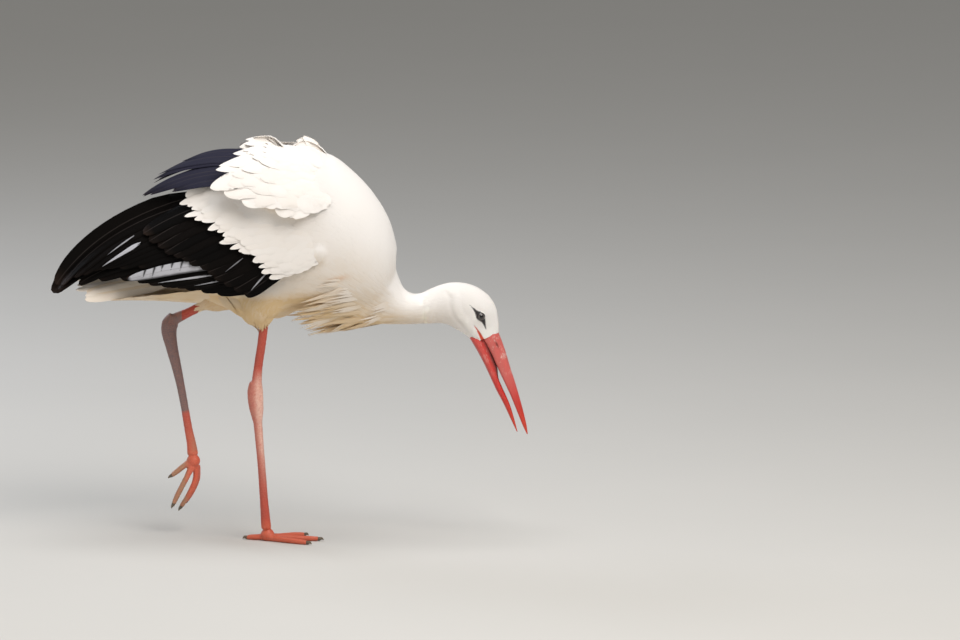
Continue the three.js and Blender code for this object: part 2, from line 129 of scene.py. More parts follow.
# The surface that the folded wing lies on, from the wing's tip to its wrist.
WING_REACH = (-354, 100)
WING_UPPER_EDGE = [408, 478, 524, 556, 582, 598, 608, 606]
WING_LOWER_EDGE = [404, 428, 440, 428, 422, 418, 440, 480]
WING_UPPER_HALF = [5, 9, 13, 18, 26, 42, 58, 56]
WING_LOWER_HALF = [22, 46, 66, 80, 86, 88, 84, 68]

# Each leg: thigh, shank, and metatarsus from the ankle to the foot, then the toes.
LEGS = {
    "right": {
        "standing": True,
        "thigh": ([[-4, -46, 424], [-9, -45, 400], [-13, -42, 378], [-12, -38, 361]],
                  [46, 43, 34, 17], [30, 28, 22, 12]),
        "shank": ([[-3, -37, 372], [-8, -33, 330], [-14, -28, 290], [-17, -25, 258]],
                  [7.2, 7, 7, 8.5], [6.2, 6, 6, 7.2]),
        "metatarsus": ([[-18, -25, 264], [-19, -24, 250], [-18.5, -23, 235], [-17, -21.5, 218],
                        [-15, -19, 196], [-12, -15, 158], [-9, -11, 120], [-5.5, -6, 66], [-2, -2, 20]],
                       [10, 12.7, 12.7, 11.4, 7.2, 6.5, 6.3, 6.7, 8.2],
                       [8, 9.6, 9.8, 9, 6.2, 5.6, 5.4, 5.8, 8.4]),
        "pad": [0, 0, 9],
        "toes": {
            "middle": [[6, 0, 4.6], [34, -2, 4.1], [60, -4, 3.7], [82, -5, 3.2]],
            "inner": [[4, 5, 4.6], [24, 17, 4.1], [44, 29, 3.7], [58, 36, 3.2]],
            "outer": [[3, -5, 4.6], [26, -20, 4.1], [48, -33, 3.7], [64, -41, 3.2]],
            "hind": [[-7, 1, 5.4], [-16, 4, 4.6], [-25, 7, 3.8], [-32, 9, 3.2]],
        },
    },
    "left": {
        "standing": False,
        "thigh": ([[-48, 46, 414], [-66, 46, 400], [-88, 46, 386], [-108, 46, 378]],
                  [42, 34, 21, 9], [30, 26, 17, 8.5]),
        "shank": ([[-94, 46, 384], [-112, 46.5, 375], [-130, 47, 366], [-149, 48, 357]],
                  [7.8, 7.4, 7.4, 9], [6.4, 6, 6.2, 8]),
        "metatarsus": ([[-151, 48, 361], [-158, 48, 349], [-160, 48, 336], [-156, 47.5, 312],
                        [-149, 47, 282], [-142, 46.5, 250], [-135, 46, 212], [-129, 46, 176],
                        [-124, 46, 150], [-122, 46, 134]],
                       [9.5, 13.5, 12.5, 10, 8.2, 6.8, 6.2, 6.6, 7.6, 9],
                       [8, 10, 9.5, 8, 6.6, 5.8, 5.4, 5.6, 6.6, 8.6]),
        "pad": [-121, 46, 123],
        "toes": {
            "middle": [[-117, 47, 114], [-118, 49, 92], [-128, 51, 68], [-141, 53, 47]],
            "inner": [[-124, 42, 113], [-134, 37, 93], [-145, 34, 72], [-153, 33, 55]],
            "outer": [[-115, 51, 114], [-115, 59, 92], [-123, 66, 71], [-133, 72, 53]],
            "hind": [[-129, 44, 120], [-138, 42, 114], [-147, 40, 107], [-155, 39, 101]],
        },
    },
}

EYE_CENTRE = (346, 18.4, 371)
# The streak of bare black skin through the eye, as x, z and half width.
EYE_STREAK = [[328, 391, 0.3], [334, 385, 1.1], [339, 379, 2.6], [345.5, 371.5, 6.9], [350, 364, 3.6],
              [352.5, 357, 1.8], [354.5, 350, 0.8]]

# ---------------------------------------------------------------- curves and closed shapes


def curve(points):
    """A smooth line through points, read from 0 to 1. Past either end it runs on straight."""
    points = np.array(points, float)
    ends = np.vstack([2 * points[0] - points[1], points, 2 * points[-1] - points[-2]])
    steps = np.maximum(np.linalg.norm(np.diff(ends, axis=0), axis=1), 1e-6) ** 0.5
    last = len(points) - 1

    def inside(t):
        place = np.clip(t, 0, 1) * last
        low = np.minimum(place.astype(int), last - 1)
        w = (place - low)[..., None]
        p0, p1, p2, p3 = (ends[low + k] for k in range(4))
        d0, d1, d2 = (steps[low + k][..., None] for k in range(3))
        start = d1 * ((p1 - p0) / d0 - (p2 - p0) / (d0 + d1) + (p2 - p1) / d1)
        end = d1 * ((p2 - p1) / d1 - (p3 - p1) / (d1 + d2) + (p3 - p2) / d2)
        bend = w * (-3 * p1 + 3 * p2 - 2 * start - end + w * (2 * p1 - 2 * p2 + start + end))
        return p1 + w * (start + bend)

    def at(t):
        t = np.asarray(t, float)
        held = np.clip(t, 0, 1)
        near = np.clip(t, 0.01, 0.99)
        slope = (inside(near + 0.01) - inside(near - 0.01)) / 0.02
        return inside(held) + slope * (t - held)[..., None]

    return at


def number_line(values):
    """A smooth line of single numbers."""
    line = curve(np.array(values, float)[:, None])
    return lambda t: line(t)[..., 0]


def ramp(value, low, high):
    """0 below low, 1 above high, and a soft step between."""
    t = np.clip((np.asarray(value, float) - low) / (high - low), 0, 1)
    return t * t * (3 - 2 * t)


def unit(vectors):
    return vectors / np.maximum(np.linalg.norm(vectors, axis=-1, keepdims=True), 1e-9)


def grid_faces(rows, columns, around):
    """Quads of a grid of points; with `around` the last column joins the first."""
    r, c = np.meshgrid(np.arange(rows - 1), np.arange(columns - (0 if around else 1)), indexing="ij")
    r, c = r.ravel(), c.ravel()
    after = (c + 1) % columns
    return np.stack([r * columns + c, r * columns + after, (r + 1) * columns + after,
                     (r + 1) * columns + c], axis=1)


def tube(rings):
    """A closed skin over rings of points, an array of rings x sides x 3."""
    rows, sides, _ = rings.shape
    points = np.vstack([rings.reshape(-1, 3), rings[0].mean(0), rings[-1].mean(0)])
    faces = [list(quad) for quad in grid_faces(rows, sides, True)]
    start = rows * sides
    last = (rows - 1) * sides
    for s in range(sides):
        after = (s + 1) % sides
        faces.append([start, after, s])
        faces.append([start + 1, last + s, last + after])
    return points, faces


def band(stations, rings, sides, grow=0.0, crest=1.0, keel=1.0, mouth=1.0):
    """The rings of a body part that is alike on both sides. `grow` swells it, in mm. `crest` or
    `keel` under 1 draws its upper or lower side to a ridge; `mouth` squares the other side."""
    stations = np.array(stations, float)
    zero = np.zeros(len(stations))
    upper = curve(np.stack([stations[:, 0], zero, stations[:, 1]], 1))
    lower = curve(np.stack([stations[:, 2], zero, stations[:, 3]], 1))
    t = np.linspace(0, 1, rings)
    half = np.interp(t * (len(stations) - 1), np.arange(len(stations)), stations[:, 4])
    middle = (upper(t) + lower(t)) / 2
    up = upper(t) - middle
    height = np.linalg.norm(up, axis=1)
    up = unit(up)
    angle = 2 * np.pi * np.arange(sides) / sides
    lift = np.cos(angle)
    power = np.where(lift > 0, 1 / crest, 1 / keel)
    spread = np.sign(np.sin(angle)) * np.abs(np.sin(angle)) ** power
    if mouth < 1:
        inside = lift < 0 if crest < 1 else lift > 0
        lift = np.where(inside, np.sign(lift) * np.abs(lift) ** mouth, lift)
        spread = np.where(inside, np.sign(spread) * np.abs(spread) ** (mouth + 0.1), spread)
    points = middle[:, None] + up[:, None] * (lift[None, :, None] * (height + grow)[:, None, None])
    points[..., 1] += spread[None] * (half + grow)[:, None]
    if grow:
        points[0] += unit(middle[0] - middle[1]) * grow
        points[-1] += unit(middle[-1] - middle[-2]) * grow
    return points


def limb(path, along, across, rings, sides, grow=0.0):
    """The rings of a tube along a path, with its radius fore and aft and its radius sideways."""
    line = curve(path)
    t = np.linspace(0, 1, rings)
    tangent = unit(line(np.minimum(1, t + 0.02)) - line(np.maximum(0, t - 0.02)))
    forward = unit(np.cross([0, 1, 0], tangent))
    sideways = np.cross(tangent, forward)
    fore = np.interp(t, np.linspace(0, 1, len(along)), along) + grow
    side = np.interp(t, np.linspace(0, 1, len(across)), across) + grow
    angle = 2 * np.pi * (np.arange(sides) + 0.5) / sides
    return (line(t)[:, None]
            + forward[:, None] * (np.cos(angle)[None, :, None] * fore[:, None, None])
            + sideways[:, None] * (np.sin(angle)[None, :, None] * side[:, None, None]))


def ball(centre, radius, wide=24, high=16, stretch=(1, 1, 1)):
    """The rings of a ball or of an egg."""
    polar = np.linspace(0.02, math.pi - 0.02, high)
    angle = 2 * np.pi * np.arange(wide) / wide
    shape = np.stack([np.sin(polar)[:, None] * np.cos(angle), np.sin(polar)[:, None] * np.sin(angle),
                      np.cos(polar)[:, None] + 0 * angle], axis=-1)
    return np.array(centre) + shape * radius * np.array(stretch)


def wing_half(x, z):
    """How far the folded wing stands from the bird's midplane."""
    t = (x - WING_REACH[0]) / (WING_REACH[1] - WING_REACH[0])
    t = np.clip(t, 0, 1)
    low = number_line(WING_LOWER_EDGE)(t)
    rise = np.clip((z - low) / (number_line(WING_UPPER_EDGE)(t) - low), 0, 1) ** 1.8
    lower = number_line(WING_LOWER_HALF)(t)
    return lower + (number_line(WING_UPPER_HALF)(t) - lower) * rise


def sheet_of(roots, mids, tips, outward, lie=None):
    """The surface of a row of feathers: u runs from root to tip, v from the first feather to the
    last. With `lie` the lists are only x and z and the surface lies on that function."""
    def line(points):
        return curve([[p[0], 0, p[1]] if lie else p for p in points])

    root, mid, tip = line(roots), line(mids), line(tips)

    def at(u, v):
        u = np.asarray(u, float)[..., None]
        v = np.broadcast_to(np.asarray(v, float), u.shape[:-1])
        point = root(v) * (1 - u) ** 2 + mid(v) * 2 * u * (1 - u) + tip(v) * u * u
        if lie:
            point[..., 1] = lie(point[..., 0], point[..., 2])
        return point

    def axes(u, v):
        """Directions along the feathers, across them, and out of the surface."""
        along = unit(at(u + 0.02, v) - at(u - 0.02, v))
        across = at(u, v + 0.01) - at(u, v - 0.01)
        across = unit(across - along * (across * along).sum(-1, keepdims=True))
        out = np.cross(along, across)
        out *= np.sign((out * np.array(outward, float)).sum(-1, keepdims=True) + 1e-9)
        return along, across, unit(out)

    return at, axes


def slab(surface, us, vs, outer, inner):
    """A closed slab over part of a feather surface, from `inner` to `outer` mm off it."""
    at, axes = surface
    u, v = np.meshgrid(us, vs, indexing="ij")
    point, normal = at(u, v), axes(u, v)[2]
    shell = np.stack([point + normal * outer(u, v)[..., None], point + normal * inner], 0)
    rows, columns = len(us), len(vs)
    top = grid_faces(rows, columns, False)
    faces = [list(q) for q in top] + [list(q[::-1]) for q in top + rows * columns]
    rim = [(r, 0) for r in range(rows)] + [(rows - 1, c) for c in range(1, columns)]
    rim += [(r, columns - 1) for r in range(rows - 2, -1, -1)] + [(0, c) for c in range(columns - 2, 0, -1)]
    count = rows * columns
    for (r0, c0), (r1, c1) in zip(rim, rim[1:] + rim[:1]):
        a, b = r0 * columns + c0, r1 * columns + c1
        faces.append([a, a + count, b + count, b])
    return shell.reshape(-1, 3), faces


# ---------------------------------------------------------------- Blender objects


def stork():
    return bpy.context.scene.stork_sizes


def paint():
    return bpy.context.scene.stork_colours


def mesh_object(name, points, faces, unit_size=MM):
    """A mesh object from points, in mm unless `unit_size` says otherwise, placed in its mesh."""
    mesh = bpy.data.meshes.new(name)
    mesh.from_pydata((np.asarray(points) * unit_size).tolist(), [], faces)
    mesh.validate()
    obj = bpy.data.objects.new(name, mesh)
    bpy.context.scene.collection.objects.link(obj)
    return obj


def turn_out(mesh):
    """Turns every closed shell of a mesh to face outwards."""
    shape = bmesh.new()
    shape.from_mesh(mesh)
    bmesh.ops.recalc_face_normals(shape, faces=shape.faces)
    shape.to_mesh(mesh)
    shape.free()


def joined(parts):
    """One list of points and faces out of several."""
    points, faces, count = [], [], 0
    for part_points, part_faces in parts:
        points.append(part_points)
        faces += [[i + count for i in face] for face in part_faces]
        count += len(part_points)
    return np.vstack(points), faces


def baked(obj, name):
    """What an object's modifiers make of it, as a plain mesh; the object itself goes."""
    depsgraph = bpy.context.evaluated_depsgraph_get()
    mesh = bpy.data.meshes.new_from_object(obj.evaluated_get(depsgraph))
    mesh.name = name
    bpy.data.objects.remove(obj)
    return mesh


def welded(name, parts, size):
    """Points and faces of several closed shapes run together, in cells of `size` mm."""
    obj = mesh_object(name, *joined(parts))
    turn_out(obj.data)
    weld = obj.modifiers.new("weld", "REMESH")
    weld.mode = "VOXEL"
    weld.voxel_size = size * MM
    mesh = baked(obj, name)
    points = np.empty(len(mesh.vertices) * 3)
    mesh.vertices.foreach_get("co", points)
    faces = [list(p.vertices) for p in mesh.polygons]
    bpy.data.meshes.remove(mesh)
    return points.reshape(-1, 3) / MM, faces


def edges_of(faces):
    pairs = set()
    for face in faces:
        for a, b in zip(face, face[1:] + face[:1]):
            pairs.add((a, b) if a < b else (b, a))
    return np.array(list(pairs))


def relaxed(points, edges, rounds, keep=None):
    """Smooths a mesh and puts back most of what that shrinks."""
    counts = np.bincount(edges.ravel(), minlength=len(points))[:, None]
    for turn in range(rounds * 2):
        total = np.zeros_like(points)
        np.add.at(total, edges[:, 0], points[edges[:, 1]])
        np.add.at(total, edges[:, 1], points[edges[:, 0]])
        step = (total / np.maximum(counts, 1) - points) * (0.5 if turn % 2 == 0 else -0.515)
        points = points + (step if keep is None else step * keep[:, None])
    return points


def filled(points, faces, edges, rounds, share):
    """Fills a mesh's creases: every point moves towards its neighbours, but never inwards."""
    counts = np.bincount(edges.ravel(), minlength=len(points))[:, None]
    for turn in range(rounds):
        if turn % 8 == 0:
            out = normals_of(points, faces)
        total = np.zeros_like(points)
        np.add.at(total, edges[:, 0], points[edges[:, 1]])
        np.add.at(total, edges[:, 1], points[edges[:, 0]])
        step = ((total / np.maximum(counts, 1) - points) * out).sum(1)
        points = points + out * (np.maximum(step, 0) * share)[:, None]
    return points


def normals_of(points, faces):
    """Vertex normals of a mesh of triangles and quads."""
    total = np.zeros_like(points)
    quads = np.array([face if len(face) == 4 else face + face[-1:] for face in faces])
    normal = np.cross(points[quads[:, 2]] - points[quads[:, 0]], points[quads[:, 3]] - points[quads[:, 1]])
    for corner in range(4):
        np.add.at(total, quads[:, corner], normal)
    return unit(total)


def keep_values(mesh, **values):
    """Stores numbers or vectors on a mesh's vertices, by name."""
    for name, array in values.items():
        array = np.asarray(array, float)
        kind, field = ("FLOAT", "value") if array.ndim == 1 else ("FLOAT_VECTOR", "vector")
        mesh.attributes.new(name, kind, "POINT").data.foreach_set(field, array.ravel())


def keep_uv(mesh, name, per_vertex):
    """Stores a UV map from one value at each vertex."""
    corners = np.empty(len(mesh.loops), int)
    mesh.loops.foreach_get("vertex_index", corners)
    layer = mesh.uv_layers.new(name=name)
    layer.uv.foreach_set("vector", np.asarray(per_vertex, float)[corners].ravel())


def soften(mesh, toward, share):
    """Leans a mesh's shading towards one direction per vertex, as barbs that mesh into a soft coat
    do. A face that looks the other way, such as a feather's underside, keeps its own."""
    mesh.polygons.foreach_set("use_smooth", [True] * len(mesh.polygons))
    mesh.update()
    own = np.empty(len(mesh.vertices) * 3, dtype=np.float32)
    mesh.vertex_normals.foreach_get("vector", own)
    leaned = unit(own.reshape(-1, 3) * (1 - share) + toward * share)
    corners = np.empty(len(mesh.loops), dtype=np.int32)
    mesh.loops.foreach_get("vertex_index", corners)
    flat = np.empty(len(mesh.polygons) * 3, dtype=np.float32)
    mesh.polygon_normals.foreach_get("vector", flat)
    sizes = np.empty(len(mesh.polygons), dtype=np.int32)
    mesh.polygons.foreach_get("loop_total", sizes)
    flat = np.repeat(flat.reshape(-1, 3), sizes, axis=0)
    leaned = leaned[corners]
    away = (leaned * flat).sum(1, keepdims=True) < 0.08
    mesh.normals_split_custom_set(np.where(away, flat, leaned).tolist())


def finish_piece(obj, material, nodes=()):
    """Gives a piece its finish and its body, and hides the solids that it stands for."""
    obj.data.polygons.foreach_set("use_smooth", [True] * len(obj.data.polygons))
    if material:
        obj.data.materials.clear()
        obj.data.materials.append(material)
    obj.data.update()
    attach(obj, "root")
    if nodes:
        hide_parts(*nodes)


# ---------------------------------------------------------------- nodes and colours


def linear(hex_colour):
    """A colour written as sRGB hex, as the linear numbers that nodes take."""
    parts = [int(hex_colour[i:i + 2], 16) / 255 for i in (1, 3, 5)]
    return [p / 12.92 if p <= 0.04045 else ((p + 0.055) / 1.055) ** 2.4 for p in parts] + [1.0]


def add(tree, kind, links=None, **settings):
    """Adds one node with its settings. Each of `links` is an input's value or what feeds it."""
    made = tree.nodes.new(kind)
    for name, value in settings.items():
        setattr(made, name, value)
    for key, value in (links or {}).items():
        socket = made.inputs[key]
        if isinstance(value, bpy.types.NodeSocket):
            tree.links.new(value, socket)
        else:
            socket.default_value = value
    return made


def new_material(name):
    """A material with no nodes yet, and its node tree."""
    material = bpy.data.materials.new(name)
    material.use_nodes = True
    tree = material.node_tree
    tree.nodes.clear()
    return material, tree


def shade(tree, colour, roughness, bump=None, **constants):
    """The shader that ends a material: linked colour, roughness and bump, the rest constant."""
    links = {"Base Color": colour, "Roughness": roughness}
    if bump is not None:
        links["Normal"] = bump
    shader = add(tree, "ShaderNodeBsdfPrincipled", {**links, **constants})
    add(tree, "ShaderNodeOutputMaterial", {"Surface": shader.outputs[0]})


def blend(tree, factor, first, second):
    """One colour laid over another by a factor."""
    return add(tree, "ShaderNodeMix", {0: factor, 6: first, 7: second}, data_type="RGBA").outputs[2]


def maths(tree, operation, first, second=0.0, third=0.0):
    """One step of arithmetic on numbers or on what nodes give."""
    return add(tree, "ShaderNodeMath", {0: first, 1: second, 2: third}, operation=operation).outputs[0]


def feather_material(name, colours, roughness, barb_depth, **constants):
    """Feather keratin: a matt vane of fine barbs with a faint silky streak along them, a smooth
    narrow shaft, and edges that let a little light through. `colours` draws the vane's colour."""
    material, tree = new_material(name)
    vane = add(tree, "ShaderNodeUVMap", uv_map="vane").outputs[0]
    split = add(tree, "ShaderNodeSeparateXYZ", {0: vane})
    across = maths(tree, "ABSOLUTE", maths(tree, "SUBTRACT", split.outputs[0], 0.5))
    along = split.outputs[1]
    # Barbs leave the shaft at a slant. A real vane has about 3 to a millimetre; a tenth of that is
    # drawn, which is what still shows.
    slant = maths(tree, "SUBTRACT", along, maths(tree, "MULTIPLY", across, 0.55))
    slanted = add(tree, "ShaderNodeCombineXYZ", {0: maths(tree, "MULTIPLY", across, 1.5),
                                                 1: maths(tree, "MULTIPLY", slant, 26.0)})
    streak = add(tree, "ShaderNodeTexNoise", {"Vector": slanted.outputs[0], "Scale": 1.6,
                                              "Detail": 3.0, "Roughness": 0.6}).outputs[0]
    shaft = maths(tree, "LESS_THAN", across, 0.02)
    place = add(tree, "ShaderNodeTexCoord").outputs["Object"]
    colour = colours(tree, streak, shaft, place)
    rough = maths(tree, "MULTIPLY_ADD", streak, 0.16, roughness - 0.08)
    relief = maths(tree, "ADD", streak, maths(tree, "MULTIPLY", shaft, 0.8))
    bump = add(tree, "ShaderNodeBump", {"Height": relief, "Strength": barb_depth, "Distance": 0.0006})
    shade(tree, colour, rough, bump.outputs[0], **constants)
    return material


def value_of(tree, name):
    """A number stored on the mesh."""
    return add(tree, "ShaderNodeAttribute", attribute_name=name).outputs["Fac"]


def white_vane():
    """White feather: keratin with no pigment, bright and matt, creamier in stains where it is old or soiled,
    and with cream painted shade where it lies low or faces down.
    """
    tints = paint()

    def colours(tree, streak, shaft, place):
        stain = add(tree, "ShaderNodeTexNoise", {"Vector": place, "Scale": 14.0, "Detail": 3.0}).outputs[0]
        # The cream tint is painted shade on undersides and lower parts, broken up by a noise of stains.
        warm = maths(tree, "MULTIPLY", value_of(tree, "warm"), maths(tree, "ADD", stain, 0.45))
        base = blend(tree, warm, tints.white[:], tints.cream[:])
        base = blend(tree, maths(tree, "MULTIPLY", value_of(tree, "rust"), stain), base, tints.rust[:])
        base = blend(tree, maths(tree, "MULTIPLY", streak, 0.16), base, tints.grey[:])
        fine = add(tree, "ShaderNodeTexNoise", {"Vector": place, "Scale": 700.0, "Detail": 3.0}).outputs[0]
        ragged = maths(tree, "MULTIPLY_ADD", value_of(tree, "dark"), 1.6, maths(tree, "MULTIPLY", fine, -0.9))
        return blend(tree, ragged, base, tints.eye_skin[:])

    return feather_material("white feather keratin", colours, 0.8, 0.1, **{
        "Sheen Weight": 0.15, "Sheen Roughness": 0.5, "Subsurface Weight": 0.12,
        "Subsurface Scale": 0.006, "Subsurface Radius": (1.0, 0.95, 0.9), "IOR": 1.54,
        "Specular IOR Level": 0.25})


def black_vane():
    """Black feather: keratin full of melanin, satin with a silky streak, browner where it is worn, with a
    painted violet sheen on the long shoulder plumes, and with a silvery bloom on the outer webs of the wing's
    feathers."""
    tints = paint()

    def colours(tree, streak, shaft, place):
        worn = maths(tree, "MULTIPLY", value_of(tree, "worn"), maths(tree, "ADD", streak, 0.3))
        base = blend(tree, worn, tints.black[:], tints.brown[:])
        # Violet painted sheen: the plumes' glossy reflection laid into their colour.
        base = blend(tree, maths(tree, "MULTIPLY", value_of(tree, "violet"), 0.8), base, tints.violet[:])
        mist = add(tree, "ShaderNodeTexNoise", {"Vector": place, "Scale": 60.0, "Detail": 2.0}).outputs[0]
        bloom = maths(tree, "MULTIPLY", value_of(tree, "silver"), maths(tree, "ADD", mist, streak))
        base = blend(tree, bloom, base, tints.silver[:])
        return blend(tree, maths(tree, "MULTIPLY", shaft, 0.35), base, tints.shaft[:])

    return feather_material("black feather keratin", colours, 0.5, 0.3, **{
        "IOR": 1.56, "Specular IOR Level": 0.045})


def feather(colour):
    """The white or the black feather's material, made when it is first asked for."""
    make = {"white": white_vane, "black": black_vane}[colour]
    return bpy.data.materials.get(f"{colour} feather keratin") or make()


# ---------------------------------------------------------------- vanes on a surface


def vane_shape(t, root, fullest, taper, blunt):
    """Half width along a vane, at most 1: narrow at the root, and blunt or drawn out at the tip."""
    open_ = root + (1 - root) * ramp(t, 0, fullest)
    return open_ * np.clip(1 - np.clip(t, 0, 1) ** taper, 0, 1) ** blunt


RIDGE = 0.25  # how far a vane's shaft stands up along its middle, in mm


def lay_vanes(name, surface, rows, seed, columns=5, stations=9, thick=0.4, soft=0.7, rounded=0.3):
    """Feathers laid on a surface, each one a thin closed blade that follows it.

    Each row is a dict. `start` and `end` are arrays of (u, v) of the roots and tips, `wide` the
    half widths in mm, `lift` and `sink` how far tip and root stand off the surface, `tilt` how far
    the edge towards greater v stands above the other, `camber` how far both edges drop, `shape`
    the numbers of vane_shape, `fray` how deep the splits cut, and `marks` numbers kept on the
    mesh: constants, or functions of across, along and the vane's own random number. A row may
    also have `curl`, how late the rise from sink to lift comes, `bow` and `sway`, how far the
    middle stands up and aside, `over`, a function that swells the surface, `drift`, how far the
    tip is carried along x, y and z, and `hold`, the u past which the blades keep facing one way.
    """
    random = np.random.default_rng(seed)
    at, axes = surface
    side = np.linspace(-1, 1, columns)
    ring = np.concatenate([side, side[-2:0:-1]])
    top = np.concatenate([np.ones(columns), -np.ones(columns - 2)])
    top[[0, columns - 1]] = 0
    points, uvs, facing, marks = [], [], [], {}
    for row in rows:
        start, end = np.array(row["start"], float), np.array(row["end"], float)
        count = len(start)

        def each(key, default=0.0):
            return np.broadcast_to(np.asarray(row.get(key, default), float), count)[:, None]

        t = 1 - (1 - np.linspace(0, 1, stations)) ** 1.5
        t = np.broadcast_to(t, (count, stations))
        u = start[:, :1] + (end - start)[:, :1] * t
        v = start[:, 1:] + (end - start)[:, 1:] * t
        spine, (along, across, out) = at(u, v), axes(u, v)
        if "hold" in row:
            # Past this u the surface narrows to a point and twists; the blades keep on facing out.
            held = axes(np.minimum(u, row["hold"]), v)
            out = unit(held[2] - along * (held[2] * along).sum(-1, keepdims=True))
            turned = np.cross(out, along)
            across = turned * np.sign((turned * held[1]).sum(-1, keepdims=True))
        wide = each("wide") * vane_shape(t, *row.get("shape", (0.5, 0.3, 5, 0.5)))
        fray = row.get("fray", 0.0)
        cuts = np.ones((count, stations, len(ring)))
        if fray:
            for hand in (-1, 1):
                where = random.uniform(0.45, 0.95, (count, 1))
                depth = random.uniform(0, fray, (count, 1))
                bite = 1 - depth * np.exp(-((t - where) / 0.05) ** 2)
                cuts *= np.where((ring * hand > 0.3)[None, None], bite[..., None], 1)
        a = ring[None, None] * cuts
        spread = a * np.maximum(wide, 0.12)[..., None]
        off = each("sink") + (each("lift") - each("sink")) * t ** each("curl", 1.5)
        off = off + each("bow") * np.sin(np.pi * t)
        if row.get("over"):
            off = off + row["over"](u, v)
        full = np.maximum(each("wide"), 1e-6)
        tilt = (each("tilt") * np.minimum(1, 3 * t) * wide / full)[..., None]
        off = off[..., None] + tilt * a - each("camber")[..., None] * a ** 2 * (wide / full)[..., None]
        off = off + top * (thick / 2) * (1 - 0.75 * np.abs(ring)) * (1 - 0.6 * t)[..., None]
        off = off + (np.abs(ring) < 0.01) * (top > 0) * RIDGE
        swirl = each("sway")[..., None] * np.sin(np.pi * t)[..., None]
        place = (spine[:, :, None] + across[:, :, None] * (spread + swirl)[..., None]
                 + out[:, :, None] * off[..., None])
        if "drift" in row:
            drift = np.asarray(row["drift"], float)
            drift = np.broadcast_to(drift, (count, 3))
            place = place + drift[:, None, None] * (t ** 2)[..., None, None]
        points.append(place.reshape(-1, 3))
        slope = rounded * ring[None, None] - (each("tilt") * np.minimum(1, 3 * t) / full)[..., None]
        lean = out[:, :, None] + across[:, :, None] * slope[..., None]
        facing.append(unit(lean).reshape(-1, 3))
        uvs.append(np.stack([np.broadcast_to((ring + 1) / 2, place.shape[:3]),
                             np.broadcast_to(t[..., None], place.shape[:3])], -1).reshape(-1, 2))
        chance = random.random((count, 1, 1))
        for key, mark in row.get("marks", {}).items():
            got = mark(ring[None, None], t[..., None], chance) if callable(mark) else mark
            got = np.broadcast_to(got, place.shape[:3])
            # Vanes that face down take more cream, as painted shade.
            if key == "warm":
                got = np.clip(got + 0.55 * ramp(-out[..., 2:], -0.1, 0.9), 0, 1)
            marks.setdefault(key, []).append(got.ravel())
    sides = len(ring)
    blades = sum(len(p) for p in points) // (stations * sides)
    one = grid_faces(stations, sides, True)
    caps = np.array([np.arange(sides)[::-1], np.arange(sides) + (stations - 1) * sides])
    faces = []
    for blade in range(blades):
        shift = blade * stations * sides
        faces += (one + shift).tolist() + (caps + shift).tolist()
    obj = mesh_object(name, np.vstack(points), faces)
    keep_uv(obj.data, "vane", np.vstack(uvs))
    # Each vane has its own strip of the OFBake map, unrolled all the way round.
    r, c = (part.ravel() for part in np.meshgrid(range(stations - 1), range(sides), indexing="ij"))
    turned = np.concatenate([np.stack([c, c + 1, c + 1, c], 1).ravel(), caps.ravel() % sides]) / sides
    risen = np.concatenate([np.stack([r, r, r + 1, r + 1], 1).ravel(), caps.ravel() // sides])
    risen = risen / (stations - 1)
    per_line = int(math.ceil(math.sqrt(blades * 3)))
    lines = int(math.ceil(blades / per_line))
    index = np.arange(blades)[:, None]
    strip = (0.05 + 0.9 * turned[None] + index % per_line) / per_line
    rise = (0.05 + 0.9 * risen[None] + index // per_line) / lines
    layer = obj.data.uv_layers.new(name="OFBake")
    layer.uv.foreach_set("vector", np.stack([strip, rise], -1).ravel())
    keep_values(obj.data, **{key: np.concatenate(parts) for key, parts in marks.items()})
    turn_out(obj.data)
    soften(obj.data, np.vstack(facing), soft)
    return obj


def soiled_and_shaded(warm):
    """The marks of a white feather: how much cream it takes for soiling and painted shade, with no rust and
    no dark.
    """
    return {"warm": warm, "rust": 0.0, "dark": 0.0}


def inked(worn, silver=0.0, violet=0.0):
    """The marks of a black feather: silvery bloom, violet sheen and brown wear."""
    return {"silver": silver, "violet": violet, "worn": worn}


# ---------------------------------------------------------------- the feather surfaces

# The folded wing's layers as x and z of the feathers' roots, middles and tips, from the wing's
# upper edge to its lower edge, and how far each layer lies off the wing's surface.
WING = {
    "primaries": {
        "depth": 0,
        "roots": [[-60, 480], [-34, 456], [-8, 432]],
        "mids": [[-250, 508], [-150, 458], [-44, 430]],
        "tips": [[-346, 412], [-250, 440], [-150, 432], [-76, 424]],
    },
    "secondaries": {
        "depth": 5,
        "roots": [[-96, 578], [-56, 544], [-28, 500], [-8, 450]],
        "mids": [[-281, 537], [-208, 500], [-132, 474], [-42, 442]],
        "tips": [[-356, 406], [-304, 437], [-262, 457], [-205, 449], [-140, 440], [-72, 431]],
    },
    "lower_webs": {
        "depth": 3,
        "roots": [[-60, 472], [-44, 462], [-32, 453], [-22, 445]],
        "mids": [[-150, 464], [-125, 450], [-100, 440], [-70, 434]],
        "tips": [[-229, 441], [-196, 434], [-160, 430], [-112, 428]],
    },
    "greater_coverts": {
        "depth": 11,
        "roots": [[-60, 572], [-22, 544], [18, 510], [42, 470]],
        "mids": [[-140, 556], [-90, 518], [-36, 476], [4, 438]],
        "tips": [[-208, 510], [-166, 484], [-124, 468], [-84, 442], [-30, 413]],
    },
    "coverts": {
        "depth": 17.5,
        "roots": [[52, 602], [84, 572], [100, 530], [94, 484]],
        "mids": [[-62, 594], [-14, 556], [24, 512], [52, 458]],
        "tips": [[-150, 566], [-120, 536], [-76, 508], [-40, 482], [8, 448]],
    },
}
